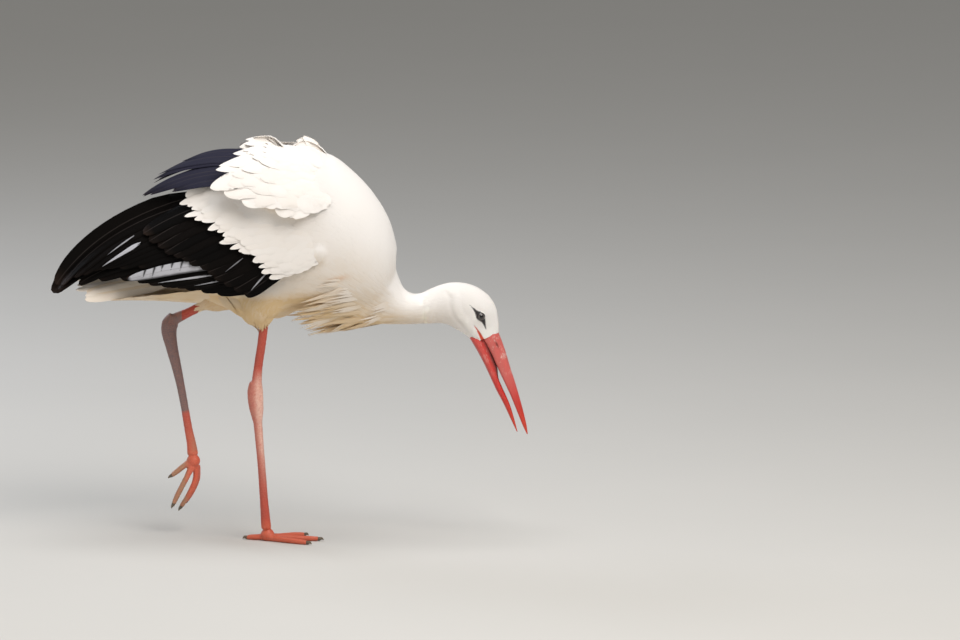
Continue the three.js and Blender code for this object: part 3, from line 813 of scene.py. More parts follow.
# The shoulder feathers of the right side, as x, distance from the midplane, and z.
SHOULDER = {
    "scapulars": {
        "roots": [[112, 1, 633], [110, 44, 619], [102, 75, 590], [96, 93, 560]],
        "mids": [[52, 1, 664], [44, 54, 645], [32, 94, 602], [58, 108, 552]],
        "tips": [[-22, 1, 656], [-40, 30, 642], [-60, 56, 624], [-80, 80, 602], [-42, 101, 574],
                 [2, 112, 560], [56, 110, 551]],
        "drop": (0, 0, 0),
    },
    "long_scapulars": {
        "roots": [[-14, 2, 636], [-18, 24, 626], [-24, 42, 610], [-28, 56, 598]],
        "mids": [[-84, 2, 649], [-112, 20, 638], [-114, 36, 618], [-96, 52, 600]],
        "tips": [[-134, 2, 622], [-184, 16, 593], [-199, 32, 568], [-150, 46, 576]],
        "drop": (0, 0.5, 1),
    },
}
TAIL = {
    "roots": [[-165, -24, 424], [-170, -18, 434], [-172, 0, 440], [-170, 18, 434], [-165, 24, 424]],
    "mids": [[-238, -40, 412], [-244, -30, 426], [-248, 0, 434], [-244, 30, 426], [-238, 40, 412]],
    "tips": [[-292, -46, 401], [-306, -38, 414], [-318, 0, 424], [-306, 38, 414], [-292, 46, 401]],
}
UNDER_TAIL = {
    "roots": [[-70, -38, 416], [-88, -26, 398], [-96, 0, 386], [-88, 26, 398], [-70, 38, 416]],
    "mids": [[-165, -46, 404], [-170, -30, 396], [-172, 0, 394], [-170, 30, 396], [-165, 46, 404]],
    "tips": [[-236, -44, 402], [-256, -34, 400], [-270, 0, 402], [-256, 34, 400], [-236, 44, 402]],
}
BREAST = {
    "roots": [[236, 3, 354], [226, 20, 360], [216, 31, 382], [206, 40, 412], [192, 55, 450]],
    "mids": [[180, 4, 350], [160, 34, 352], [140, 56, 374], [140, 70, 404], [140, 80, 446]],
    "tips": [[104, 3, 346], [68, 30, 340], [34, 50, 374], [58, 66, 394], [84, 82, 436]],
}
BIB = {
    "roots": [[172, -40, 388], [188, -24, 366], [194, 0, 360], [188, 24, 366], [172, 40, 388]],
    "mids": [[112, -60, 384], [130, -34, 361], [137, 0, 354], [130, 34, 361], [112, 60, 384]],
    "tips": [[34, -58, 374], [58, -34, 350], [74, 0, 335], [58, 34, 350], [34, 58, 374]],
}
# The loose feathers that hang over the standing leg, from its rear edge to its fore edge.
TROUSERS = {
    "roots": [[-92, -36, 412], [-50, -50, 416], [-10, -56, 418], [34, -46, 412]],
    "mids": [[-50, -56, 384], [-30, -66, 385], [-8, -70, 384], [18, -62, 386]],
    "tips": [[-20, -45, 362], [-14, -47, 356], [-8, -47, 352], [2, -45, 358]],
}


def wing_sheet(layer, side):
    """The surface of one layer of the right or left wing."""
    sag = LEFT_WING_SAG if side == LEFT else 0
    form = WING[layer]
    lists = [[(x, z - sag * share) for x, z in form[key]]
             for key, share in (("roots", 0.7), ("mids", 1), ("tips", 1))]
    depth = form["depth"]
    return sheet_of(*lists, (0, side, 0.15), lambda x, z: side * (wing_half(x, z + sag) + depth))


def shoulder_sheet(layer, side):
    """The surface of the short or the long shoulder feathers of one side."""
    sag = LEFT_WING_SAG if side == LEFT else 0
    form = SHOULDER[layer]
    lists = [[(x, side * y, z - sag * share) for x, y, z in form[key]]
             for key, share in zip(("roots", "mids", "tips"), form["drop"])]
    return sheet_of(*lists, (0, side * 0.6, 0.75))


def lists_of(form, side=LEFT):
    """The roots, middles and tips of a form that is drawn for the left side."""
    return [[(x, side * y, z) for x, y, z in form[key]] for key in ("roots", "mids", "tips")]


def breast_sheet(side):
    """The surface of the breast's plumes on one side."""
    return sheet_of(*lists_of(BREAST, side), (0, side * 0.8, -0.5))


def layer_swell(amount, shoulder=False):
    """How far a layer of white feathers swells off its surface, in mm. Its fore edge dips, and so
    does the shoulders' ridge between its two crests."""
    def at(u, v):
        low = np.clip(v, 0.1, 1) if shoulder else v
        dip = 6 * (1 - ramp(u, 0, 0.3))
        if shoulder:
            dip = dip + 20 * np.exp(-((u - 0.6) / 0.12) ** 2) * (1 - ramp(v, 0.0, 0.32))
        round_ = np.sqrt(np.clip(np.sin(np.pi * low), 0, 1))
        return amount * round_ * np.sin(0.85 * np.pi * np.clip(u, 0, 1)) - dip
    return at


# ---------------------------------------------------------------- skin

SPINE_LINE = curve(SPINE)
SPINE_POINTS = SPINE_LINE(np.linspace(0, 1, 400))
SPINE_STEPS = np.concatenate([[0], np.cumsum(np.linalg.norm(np.diff(SPINE_POINTS, axis=0), axis=1))])

COLLAR = 128  # how far down the spine the head's shell passes into the neck's, in mm
# In place of how far they lie down the spine, the bib and the thighs have these numbers.
BIB_PLACE = 1500
THIGH_PLACE = 2000

# Cells of the shells, in mm: the legs and the head keep finer forms than the body.
BODY_CELL = 3.7
HEAD_CELL = 1.17
LEG_CELL = 1.3
BELLY_LIFT = 17  # how far the belly is drawn up behind the bib, in mm
WRIST = (87, 481)  # x and z of the folded wing's wrist
CHEEK_FOLD = [[300, 0, 402], [301, 0, 388], [306, 0, 372], [318, 0, 357], [330, 0, 340]]
MOUTH_CORNER = [[346, 0, 338], [341, 0, 347], [336, 0, 355]]


def nearest(points, line):
    """For each point: the index of the nearest point of a line, and how far it is."""
    tree = KDTree(len(line))
    for i, p in enumerate(line):
        tree.insert(p, i)
    tree.balance()
    found = [tree.find(p) for p in points]
    return np.array([f[1] for f in found]), np.array([f[2] for f in found])


def body_shell():
    """Trunk, neck, thighs and shoulders run together, inside the coat's depth."""
    parts = [tube(band(TRUNK, 60, 48, -3)), tube(band(NECK, 36, 40, -2))]
    for leg in LEGS.values():
        path, along, across = leg["thigh"]
        slim = np.array(across) * [0.72, 0.78, 0.85, 0.9]
        parts.append(tube(limb(path, along, slim, 20, 28, -2.5)))
    for side, _ in SIDES:
        covert_rise, shoulder_rise = layer_swell(7), layer_swell(8.5, True)
        parts.append(slab(wing_sheet("coverts", side), np.linspace(0.0, 0.8, 18), np.linspace(0.03, 0.97, 18),
                          lambda u, v: covert_rise(u, v) - 2.5, -26))
        parts.append(slab(shoulder_sheet("scapulars", side), np.linspace(0.0, 0.82, 16),
                          np.linspace(0, 0.98, 20),
                          lambda u, v: shoulder_rise(u, v) - 3 - 7 * ramp(v, 0.72, 1), -30))
        parts.append(slab(breast_sheet(side), np.linspace(0.02, 0.72, 14), np.linspace(0.02, 1, 14),
                          lambda u, v: -5.5 - 5 * u, -24))
    points, faces = welded("body", parts, BODY_CELL)
    edges = edges_of(faces)
    points = relaxed(points, edges, 20)
    share = 0.9 * ramp(-points[:, 0], -170, -140)
    points = relaxed(filled(points, faces, edges, 220, share), edges, 6)
    # Between the legs and the bib the belly is drawn up, so that the plumes hang clear of it.
    drawn = ramp(points[:, 0], 14, 62) * ramp(-points[:, 0], -150, -96) * ramp(-points[:, 2], -412, -366)
    points[:, 2] += BELLY_LIFT * drawn
    # The wrist of each folded wing shows as a small round swelling.
    out = normals_of(points, faces)
    low = np.where(points[:, 1] > 0, LEFT_WING_SAG, 0)
    away = ((points[:, 0] - WRIST[0]) / 8.5) ** 2 + ((points[:, 2] - WRIST[1] + low) / 14) ** 2
    swell = 3.6 * np.exp(-away ** 2) * (np.abs(points[:, 1]) > 50)
    return points + out * swell[:, None], faces


def head_shell():
    """The head, with the sockets of the eyes, their lids, the cheek and the corner of the mouth."""
    # The last ring is drawn in, so that the two shells cross at a slant and leave no step.
    top_x, top_z, low_x, low_z, half = NECK[4]
    stations = [[top_x, top_z - 3.5, low_x, low_z + 3.5, half - 3.5], NECK[5]] + HEAD
    points, faces = welded("head", [tube(band(stations, 90, 64, -1.5))], HEAD_CELL)
    edges = edges_of(faces)
    points = relaxed(points, edges, 3)
    out = normals_of(points, faces)
    x, y, z = points.T
    side = np.sign(y)
    # The loral hollow in front of the eye, the brow over it and the swell of the cheek.
    for cx, cz, reach, rise in ((357, 352, 11, -1.6), (336, 389, 15, 0.9), (327, 360, 15, 1.1),
                                (352, 382, 10, 0.8), (341, 356, 7, -0.9)):
        near = np.exp(-(((x - cx) ** 2 + (z - cz) ** 2) / reach ** 2))
        points = points + out * (near * rise * ramp(np.abs(y), 6, 14))[:, None]
    # The fold behind the cheek and the slit at the corner of the mouth.
    line = curve(CHEEK_FOLD)(np.linspace(0, 1, 60))
    index, away = nearest(np.stack([x, 0 * x, z], 1), line)
    past = (x - line[index, 0]) * 0.8 + (z - line[index, 2]) * 0.6
    step = ramp(past, -4, 4) * (1 - ramp(away, 5, 17)) - 0.5 * np.exp(-((past + 3) / 3.5) ** 2)
    points = points + out * (step * 1.3 * ramp(np.abs(y), 5, 13) * ramp(away, 17, 13))[:, None]
    line = curve(MOUTH_CORNER)(np.linspace(0, 1, 40))
    away = np.min(np.hypot(x[:, None] - line[None, :, 0], z[:, None] - line[None, :, 2]), axis=1)
    points = points - out * (np.exp(-(away / 1.8) ** 2) * 1.4 * ramp(np.abs(y), 8, 14))[:, None]
    centre = np.tile(np.array(EYE_CENTRE, float), (len(x), 1))
    centre[:, 1] *= side
    radius = stork().eye_radius / MM
    ray = points - centre
    far = np.linalg.norm(ray, axis=1)
    # Round the eye's axis, the lids stand just over the ball and leave an almond open.
    lean = unit(np.stack([0.16 + 0 * x, side, 0.05 + 0 * x], 1))
    above = (ray * lean).sum(1)
    flat = ray - lean * above[:, None]
    slant = np.array([0.55, 0, -0.83])
    lengthways = (flat * slant).sum(1)
    offset = np.hypot(lengthways / 1.12, np.linalg.norm(flat - slant * lengthways[:, None], axis=1))
    outside = (np.abs(y) > 8) & (far < 16)
    lid = outside & (offset < 9.5)
    target = centre + unit(ray) * (radius + 0.55)
    hold = ramp(-offset, -9.5, -7.0)[:, None]
    points = np.where(lid[:, None], points + (target - points) * hold, points)
    rim = np.exp(-((offset - 6.5) / 0.9) ** 2) * outside
    points = points + lean * (rim * 0.5)[:, None]
    pit = outside & (offset < 6.0)
    points = np.where(pit[:, None], centre + unit(ray) * (radius - 2.2), points)
    return points, faces


def leg_shell(leg):
    """One bare leg from under the thigh's feathers to the toes, with its ankle and its scales."""
    path, along, across = leg["shank"]
    parts = [tube(limb(path, along, across, 40, 24))]
    path, along, across = leg["metatarsus"]
    parts.append(tube(limb(path, along, across, 80, 24)))
    parts.append(tube(ball(leg["pad"], 11)))
    ankle = np.array(path[1]) * 0.5 + np.array(path[2]) * 0.5
    for hand in (-1, 1):
        # The knobs on both sides of the ankle.
        parts.append(tube(ball(ankle + np.array([0, hand * 4.5, 4]), 6.6, stretch=(1.05, 0.9, 1.25))))
    for toe in leg["toes"].values():
        parts.append(tube(limb(toe, [5.4, 4.6, 4.5, 4.3, 3.6], [5.4, 4.4, 4.6, 4.2, 3.6], 24, 18)))
        for share in (0.36, 0.68, 0.95):
            # A pad under each joint of the toe.
            parts.append(tube(ball(curve(toe)(np.array(share)) - np.array([0, 0, 0.4]), 4.7 - share, 16, 10)))
    points, faces = welded("leg", parts, LEG_CELL)
    edges = edges_of(faces)
    points = relaxed(filled(points, faces, edges, 40, 0.9), edges, 4)
    joints = np.array([leg["metatarsus"][0][0], leg["metatarsus"][0][-1]], float)
    near = np.linalg.norm(points[:, None] - joints[None], axis=2).min(1)
    points = relaxed(points, edges, 60, 1 - ramp(near, 8, 18))
    # Reticulate scales: plates about 3 mm across with a fine groove between them.
    random = np.random.default_rng(7 if leg["standing"] else 11)
    size = stork().leg_scale / MM
    seeds = []
    grid = set()
    for i in random.permutation(len(points)):
        cell = tuple((points[i] // (size * 0.86)).astype(int))
        if cell not in grid:
            grid.add(cell)
            seeds.append(i)
    tree = KDTree(len(seeds))
    for i in seeds:
        tree.insert(points[i], i)
    tree.balance()
    gap = np.array([pair[1][2] - pair[0][2] for pair in (tree.find_n(p, 2) for p in points)])
    plate = ramp(gap, 0.0, 1.5)
    out = normals_of(points, faces)
    points = points + out * ((plate - 0.6) * 0.4)[:, None]
    if leg["standing"]:
        points[:, 2] = np.maximum(points[:, 2], 0)
    return points, faces, plate


def unwrap(points):
    """Each point's place on the unrolled bird: along its spine, and round it."""
    index, _ = nearest(points, SPINE_POINTS)
    along = SPINE_STEPS[index] / SPINE_STEPS[-1]
    share = index / (len(SPINE_POINTS) - 1)
    ahead = unit(SPINE_LINE(np.clip(share + 0.004, 0, 1)) - SPINE_LINE(np.clip(share - 0.004, 0, 1)))
    ray = points - SPINE_POINTS[index]
    up = np.cross(ahead, [0, 1, 0])
    up *= np.sign(up[:, 2:3] + 1e-9)
    angle = np.arctan2(ray[:, 1], (ray * up).sum(1))
    return along, angle, ahead


def skin_values(points, out):
    """How the coat lies on the skin, and the markings that skin and coat share, cream painted shade among
    them.
    """
    along, angle, ahead = unwrap(points)
    x, y, z = points.T
    s = along * SPINE_STEPS[-1]
    lie = ahead.copy()
    thigh = np.zeros(len(points))
    for leg in LEGS.values():
        line = curve(leg["thigh"][0])(np.linspace(0, 1, 60))
        index, far = nearest(points, line)
        down = unit(line[np.minimum(index + 2, 59)] - line[np.maximum(index - 2, 0)])
        radius = np.interp(index / 59, [0, 0.33, 0.67, 1], np.minimum(leg["thigh"][1], leg["thigh"][2]))
        near = ramp(1.5 - far / np.maximum(radius, 12), 0, 0.35) * ramp(index / 59, 0.0, 0.3)
        lie = lie * (1 - near)[:, None] + down * near[:, None]
        thigh = np.maximum(thigh, near)
    # On the shoulders the feathers turn out and down a little; on the belly they meet.
    lie[:, 2] -= 0.12 * ramp(x, -40, 60) * ramp(z, 430, 520) * ramp(np.abs(y), 40, 90)
    lie[:, 2] -= 0.3 * ramp(x, 40, 90) * ramp(-x, -250, -220) * ramp(-z, -450, -420)
    lie = unit(lie - out * (lie * out).sum(1, keepdims=True))
    sizes = stork()
    stops = [0, 26, 60, 96, 135, 175, 215, 270, 360, 500, 640]
    lengths = np.array([0.7, 0.85, 1.25, 1.9, 3.0, 4.0, 5.0, 6.0, 6.6, 6.8, 5.6]) * sizes.head_feather
    long_ = np.interp(s, stops, lengths)
    long_ = long_ * (1 - thigh) + 0.75 * lengths[-1] * thigh
    # From the lower neck back, the feathers are long and narrow and hang a little.
    top = np.interp(x, [30, 60, 134, 180, 215, 240], [362, 396, 446, 438, 416, 396])
    bib = ramp(top - z, 0, 10) * ramp(x, 30, 50) * ramp(-x, -246, -232) * (thigh < 0.3)
    long_ = long_ * (1 - bib) + 8.2 * sizes.head_feather * bib
    side_half = wing_half(x, z + np.where(y > 0, LEFT_WING_SAG, 0))
    t = (x - WING_REACH[0]) / (WING_REACH[1] - WING_REACH[0])
    low, high = number_line(WING_LOWER_EDGE)(t), number_line(WING_UPPER_EDGE)(t)
    behind = (x < 60) & (z > low + 10) & (z < high - 6) & (np.abs(y) < side_half + 3)
    shoulder = (x > 8) & (np.abs(y) > side_half + 3) & (z > 455)
    long_ = np.where(shoulder, long_ * 0.72, long_)
    # Bare black skin round the eye, drawn out into a streak.
    streak = np.array(EYE_STREAK)
    line = curve(np.stack([streak[:, 0], 0 * streak[:, 0], streak[:, 1]], 1))(np.linspace(0, 1, 60))
    wide = np.interp(np.linspace(0, 1, 60), np.linspace(0, 1, len(streak)), streak[:, 2])
    away = np.hypot(x[:, None] - line[None, :, 0], z[:, None] - line[None, :, 2]) - wide[None]
    dark = ramp(-away.min(1), -0.8, 0.8) * ramp(np.abs(y), 8, 12)
    eye = np.hypot(x - EYE_CENTRE[0], z - EYE_CENTRE[2])
    ahead_of_bill = ((x - 356) * 0.45 - (z - 345) * 0.89)
    beak = ramp(-ahead_of_bill, -15.5, -12.0)
    # The red corner of the mouth runs up between the feathers.
    line = curve([[350, 0, 330], [343, 0, 344], [336, 0, 355.5]])(np.linspace(0, 1, 40))
    away = np.hypot(x[:, None] - line[None, :, 0], z[:, None] - line[None, :, 2])
    index = away.argmin(1)
    gape = ramp(np.interp(index / 39, [0, 1], [3.2, 0.6]) - away.min(1), -0.5, 0.7) * ramp(s, 40, 30)
    gape = np.maximum(gape, ramp(-ahead_of_bill, -14.0, -15.5) * (s < 40))
    in_eye = (eye < 8.2) & (np.abs(y) > 8)
    cover = np.where(behind | in_eye, 0, 1) * (1 - gape) * (1 - dark) * beak * (gape < 0.2)
    # Cream painted shade: the tint is strongest on undersides, low on the breast, on the lower neck and
    # throat and on the lower thighs, where shade falls.
    under = ramp(-out[:, 2], -0.25, 0.75)
    warm = np.clip(0.02 + 0.55 * under * ramp(-x, -330, -130)
                   + 0.75 * ramp(-z, -428, -385) * ramp(-x, -240, -60)
                   + 0.25 * ramp(-z, -400, -360) * ramp(-x, -350, -250)
                   + 0.7 * thigh * ramp(-z, -425, -385), 0, 1)
    rust = np.exp(-(((x - 118) / 13) ** 2 + (((z - 441) - 0.3 * (x - 118)) / 4) ** 2)) * 0.9 * (y < 0)
    return {
        "lie": lie, "out": out, "long": long_, "dark": dark, "warm": warm, "rust": rust,
        "cover": cover, "gape": gape,
        "spine": np.where(thigh > 0.5, THIGH_PLACE, np.where(bib > 0.5, BIB_PLACE, s)),
        "unwrap": np.stack([0.02 + 0.96 * along, 0.5 + angle / (2 * np.pi) * 0.94, 0 * s], 1),
    }


def leg_values(leg, points):
    """The markings down a bare leg, by name."""
    x, y, z = points.T
    path = curve(leg["metatarsus"][0])(np.linspace(0, 1, 120))
    index, _ = nearest(points, path)
    t = index / 119
    ankle = leg["metatarsus"][0][0]
    in_shank = z > ankle[2] + 4 if leg["standing"] else (x > ankle[0] + 12) & (z > ankle[2] - 6)
    foot = ramp(t, 0.93, 1.0)
    front = ramp(x - path[index, 0], -6, 5)
    if leg["standing"]:
        # Bleached in front from the ankle down, and red behind.
        bare = ramp(-z, -292, -262) * (1 - ramp(t, 0.55, 0.9))
        pale = 0.04 + bare * (0.25 + 0.65 * front)
        dusk = 0 * t
        mud = foot * 0.1
    else:
        pale = np.where(in_shank, 0.0, 0.1 + 0.4 * ramp(t, 0.22, 0.05))
        dusk = np.where(in_shank, 0.08, 1.2 + 0.5 * ramp(t, 0.3, 0.6)) * (1 - ramp(t, 0.675, 0.695))
        mud = foot * ramp(-x, 124, 138) * 0.75 + 0.4 * front * ramp(t, 0.75, 0.9) * (1 - foot)
    orange = foot * 0.8 if leg["standing"] else ramp(t, 0.66, 0.95) * 0.9
    return {"pale": pale, "dusk": dusk, "mud": mud, "orange": orange}


def skin_material():
    """Bird's skin: pale and dull under the feathers, black and finely wrinkled round the eyes, and
    on the legs horny red plates with a lighter groove, bleached, dusky or muddy in places."""
    tints = paint()
    material, tree = new_material("bird skin")
    place = add(tree, "ShaderNodeTexCoord").outputs["Object"]
    cloud = add(tree, "ShaderNodeTexNoise", {"Vector": place, "Scale": 45.0, "Detail": 4.0}).outputs[0]
    fine = add(tree, "ShaderNodeTexNoise", {"Vector": place, "Scale": 320.0, "Detail": 3.0}).outputs[0]
    plate = value_of(tree, "plate")
    body = tints.white[:]
    # Under the feathers the skin takes the same cream painted shade as the coat.
    for mark, tone in (("warm", tints.cream), ("rust", tints.rust), ("dark", tints.eye_skin),
                       ("gape", tints.bill_orange)):
        body = blend(tree, value_of(tree, mark), body, tone[:])
    red = blend(tree, cloud, tints.leg_red[:], tints.leg_deep[:])
    red = blend(tree, maths(tree, "MULTIPLY", value_of(tree, "orange"), 0.8), red, tints.leg_orange[:])
    worn = maths(tree, "ADD", maths(tree, "MULTIPLY_ADD", fine, 1.1, -0.1),
                 maths(tree, "MULTIPLY_ADD", plate, -0.22, cloud))
    for mark, strength, tone in (("pale", worn, tints.leg_pale),
                                 ("dusk", maths(tree, "ADD", cloud, 0.4), tints.leg_grey),
                                 ("mud", maths(tree, "ADD", fine, 0.45), tints.mud)):
        red = blend(tree, maths(tree, "MULTIPLY", value_of(tree, mark), strength), red, tone[:])
    groove = maths(tree, "MULTIPLY", maths(tree, "SUBTRACT", 1.0, plate), 0.22)
    red = blend(tree, groove, red, tints.leg_groove[:])
    colour = blend(tree, value_of(tree, "leg"), body, red)
    rough = maths(tree, "MULTIPLY_ADD", cloud, 0.25, 0.38)
    bump = add(tree, "ShaderNodeBump", {"Height": fine, "Strength": 0.35, "Distance": 0.0004})
    shade(tree, colour, rough, bump.outputs[0], **{
        "IOR": 1.5, "Subsurface Weight": 0.08, "Subsurface Scale": 0.003, "Specular IOR Level": 0.45})
    return material


class STORK_OT_skin(bpy.types.Operator):
    """One skin for the whole bird: body, head with its lids and folds, and the two scaled legs"""

    bl_idname = "stork.skin"
    bl_label = "Skin"

    def execute(self, context):
        shells = [body_shell(), head_shell()]
        plates = [np.ones(len(p)) for p, _ in shells]
        legs = []
        for leg in LEGS.values():
            points, faces, plate = leg_shell(leg)
            shells.append((points, faces))
            plates.append(plate)
            legs.append(leg_values(leg, points))
        points, faces = joined(shells)
        counts = [len(p) for p, _ in shells]
        obj = mesh_object("skin", points, faces)
        turn_out(obj.data)
        values = skin_values(points, normals_of(points, faces))
        values["leg"] = np.repeat([0.0, 0.0, 1.0, 1.0], counts)
        values["cover"] = values["cover"] * (1 - values["leg"])
        # The head's shell and the neck's run into each other, so each bears feathers on its own side.
        body, head = slice(0, counts[0]), slice(counts[0], counts[0] + counts[1])
        values["cover"][body] *= values["spine"][body] > COLLAR
        values["cover"][head] *= values["spine"][head] <= COLLAR
        values["plate"] = np.concatenate(plates)
        blank = np.zeros(counts[0] + counts[1])
        for key in ("pale", "dusk", "mud", "orange"):
            values[key] = np.concatenate([blank] + [leg[key] for leg in legs])
        keep_values(obj.data, **values)
        names = ["trunk", "neck_base", "neck_middle", "neck_upper", "head"]
        for _, hand in SIDES:
            names += [f"{part}_{hand}" for part in ("thigh", "shank", "metatarsus", "foot")]
            names += [f"toe_{toe}_{hand}" for toe in ("middle", "inner", "outer", "hind")]
        finish_piece(obj, skin_material(), names)
        return {"FINISHED"}


# ---------------------------------------------------------------- the coat of small feathers

# The coat's feathers: points along and round one, how high it arches, its taper and its tip as in
# vane_shape, and the first seed of its three variants.
FEATHER_FORMS = {
    "fine": (3, 3, 0.02, 3.0, 0.8, 0),
    "soft": (5, 3, 0.018, 2.2, 0.8, 10),
    "broad": (6, 5, 0.012, 3.0, 0.7, 20),
    "narrow": (7, 3, 0.012, 1.7, 0.9, 30),
}
# The coat's pieces: the feather, how far apart its roots are in m, its width and how far its tip
# stands up as shares of its length, how unevenly it turns and is toned, and the piece's stretch
# of the spine in mm.
COATS = {
    "face": ("fine", 0.0015, 0.42, 0.035, 0.14, 0.2, -1, 62),
    "crown": ("fine", 0.0019, 0.38, 0.025, 0.12, 0.2, 62, 122),
    "neck": ("soft", 0.0030, 0.38, 0.016, 0.12, 0.12, 122, 215),
    "breast": ("broad", 0.0056, 0.50, 0.010, 0.12, 0.12, 215, 345),
    "back": ("broad", 0.0064, 0.52, 0.010, 0.12, 0.12, 345, 1000),
    "bib": ("narrow", 0.0042, 0.20, 0.012, 0.14, 0.2, BIB_PLACE - 1, BIB_PLACE + 1),
    "thighs": ("soft", 0.0040, 0.30, 0.020, 0.16, 0.1, THIGH_PLACE - 1, THIGH_PLACE + 1),
}
# What a planted feather no longer needs once it is a mesh.
SPARE_VALUES = (
    "facing", "out", "size", "rise", "tone", "height", "lie", "long", "cover", "gape", "spine",
    "unwrap", "leg", "plate", "pale", "dusk", "mud", "orange",
)


def blade(name, stations, sides, arch, taper, blunt, seed):
    """One small closed feather, 1 long along X and 1 wide, for the coat to repeat."""
    random = np.random.default_rng(seed)
    t = np.linspace(0, 1, stations)
    wide = 0.5 * vane_shape(t, 0.2, 0.45, taper, blunt)
    wide[-1] = 0.04
    across = np.linspace(-1, 1, sides)
    crown = 1 - np.abs(across)
    lift = arch * np.sin(np.pi * np.clip(t * 0.94 + 0.03, 0, 1)) - 0.02 * (1 - t)
    skew = random.uniform(-0.05, 0.05) * np.sin(np.pi * t)
    ring = np.stack([
        np.broadcast_to(t[:, None], (stations, sides)),
        wide[:, None] * across + skew[:, None],
        lift[:, None] + 0.022 * crown * (wide[:, None] + 0.1) * 2 * (1.15 - t[:, None]),
    ], -1)
    points, faces = ring.reshape(-1, 3), grid_faces(stations, sides, True).tolist()
    faces += [list(range(sides))[::-1], [i + (stations - 1) * sides for i in range(sides)]]
    obj = mesh_object(name, points, faces, 1.0)
    turn_out(obj.data)
    place = np.stack([np.broadcast_to((across + 1) / 2, (stations, sides)),
                      np.broadcast_to(t[:, None], (stations, sides))], -1).reshape(-1, 2)
    keep_uv(obj.data, "vane", place)
    keep_values(obj.data, height=points[:, 2])
    obj.data.polygons.foreach_set("use_smooth", [True] * len(obj.data.polygons))
    return obj


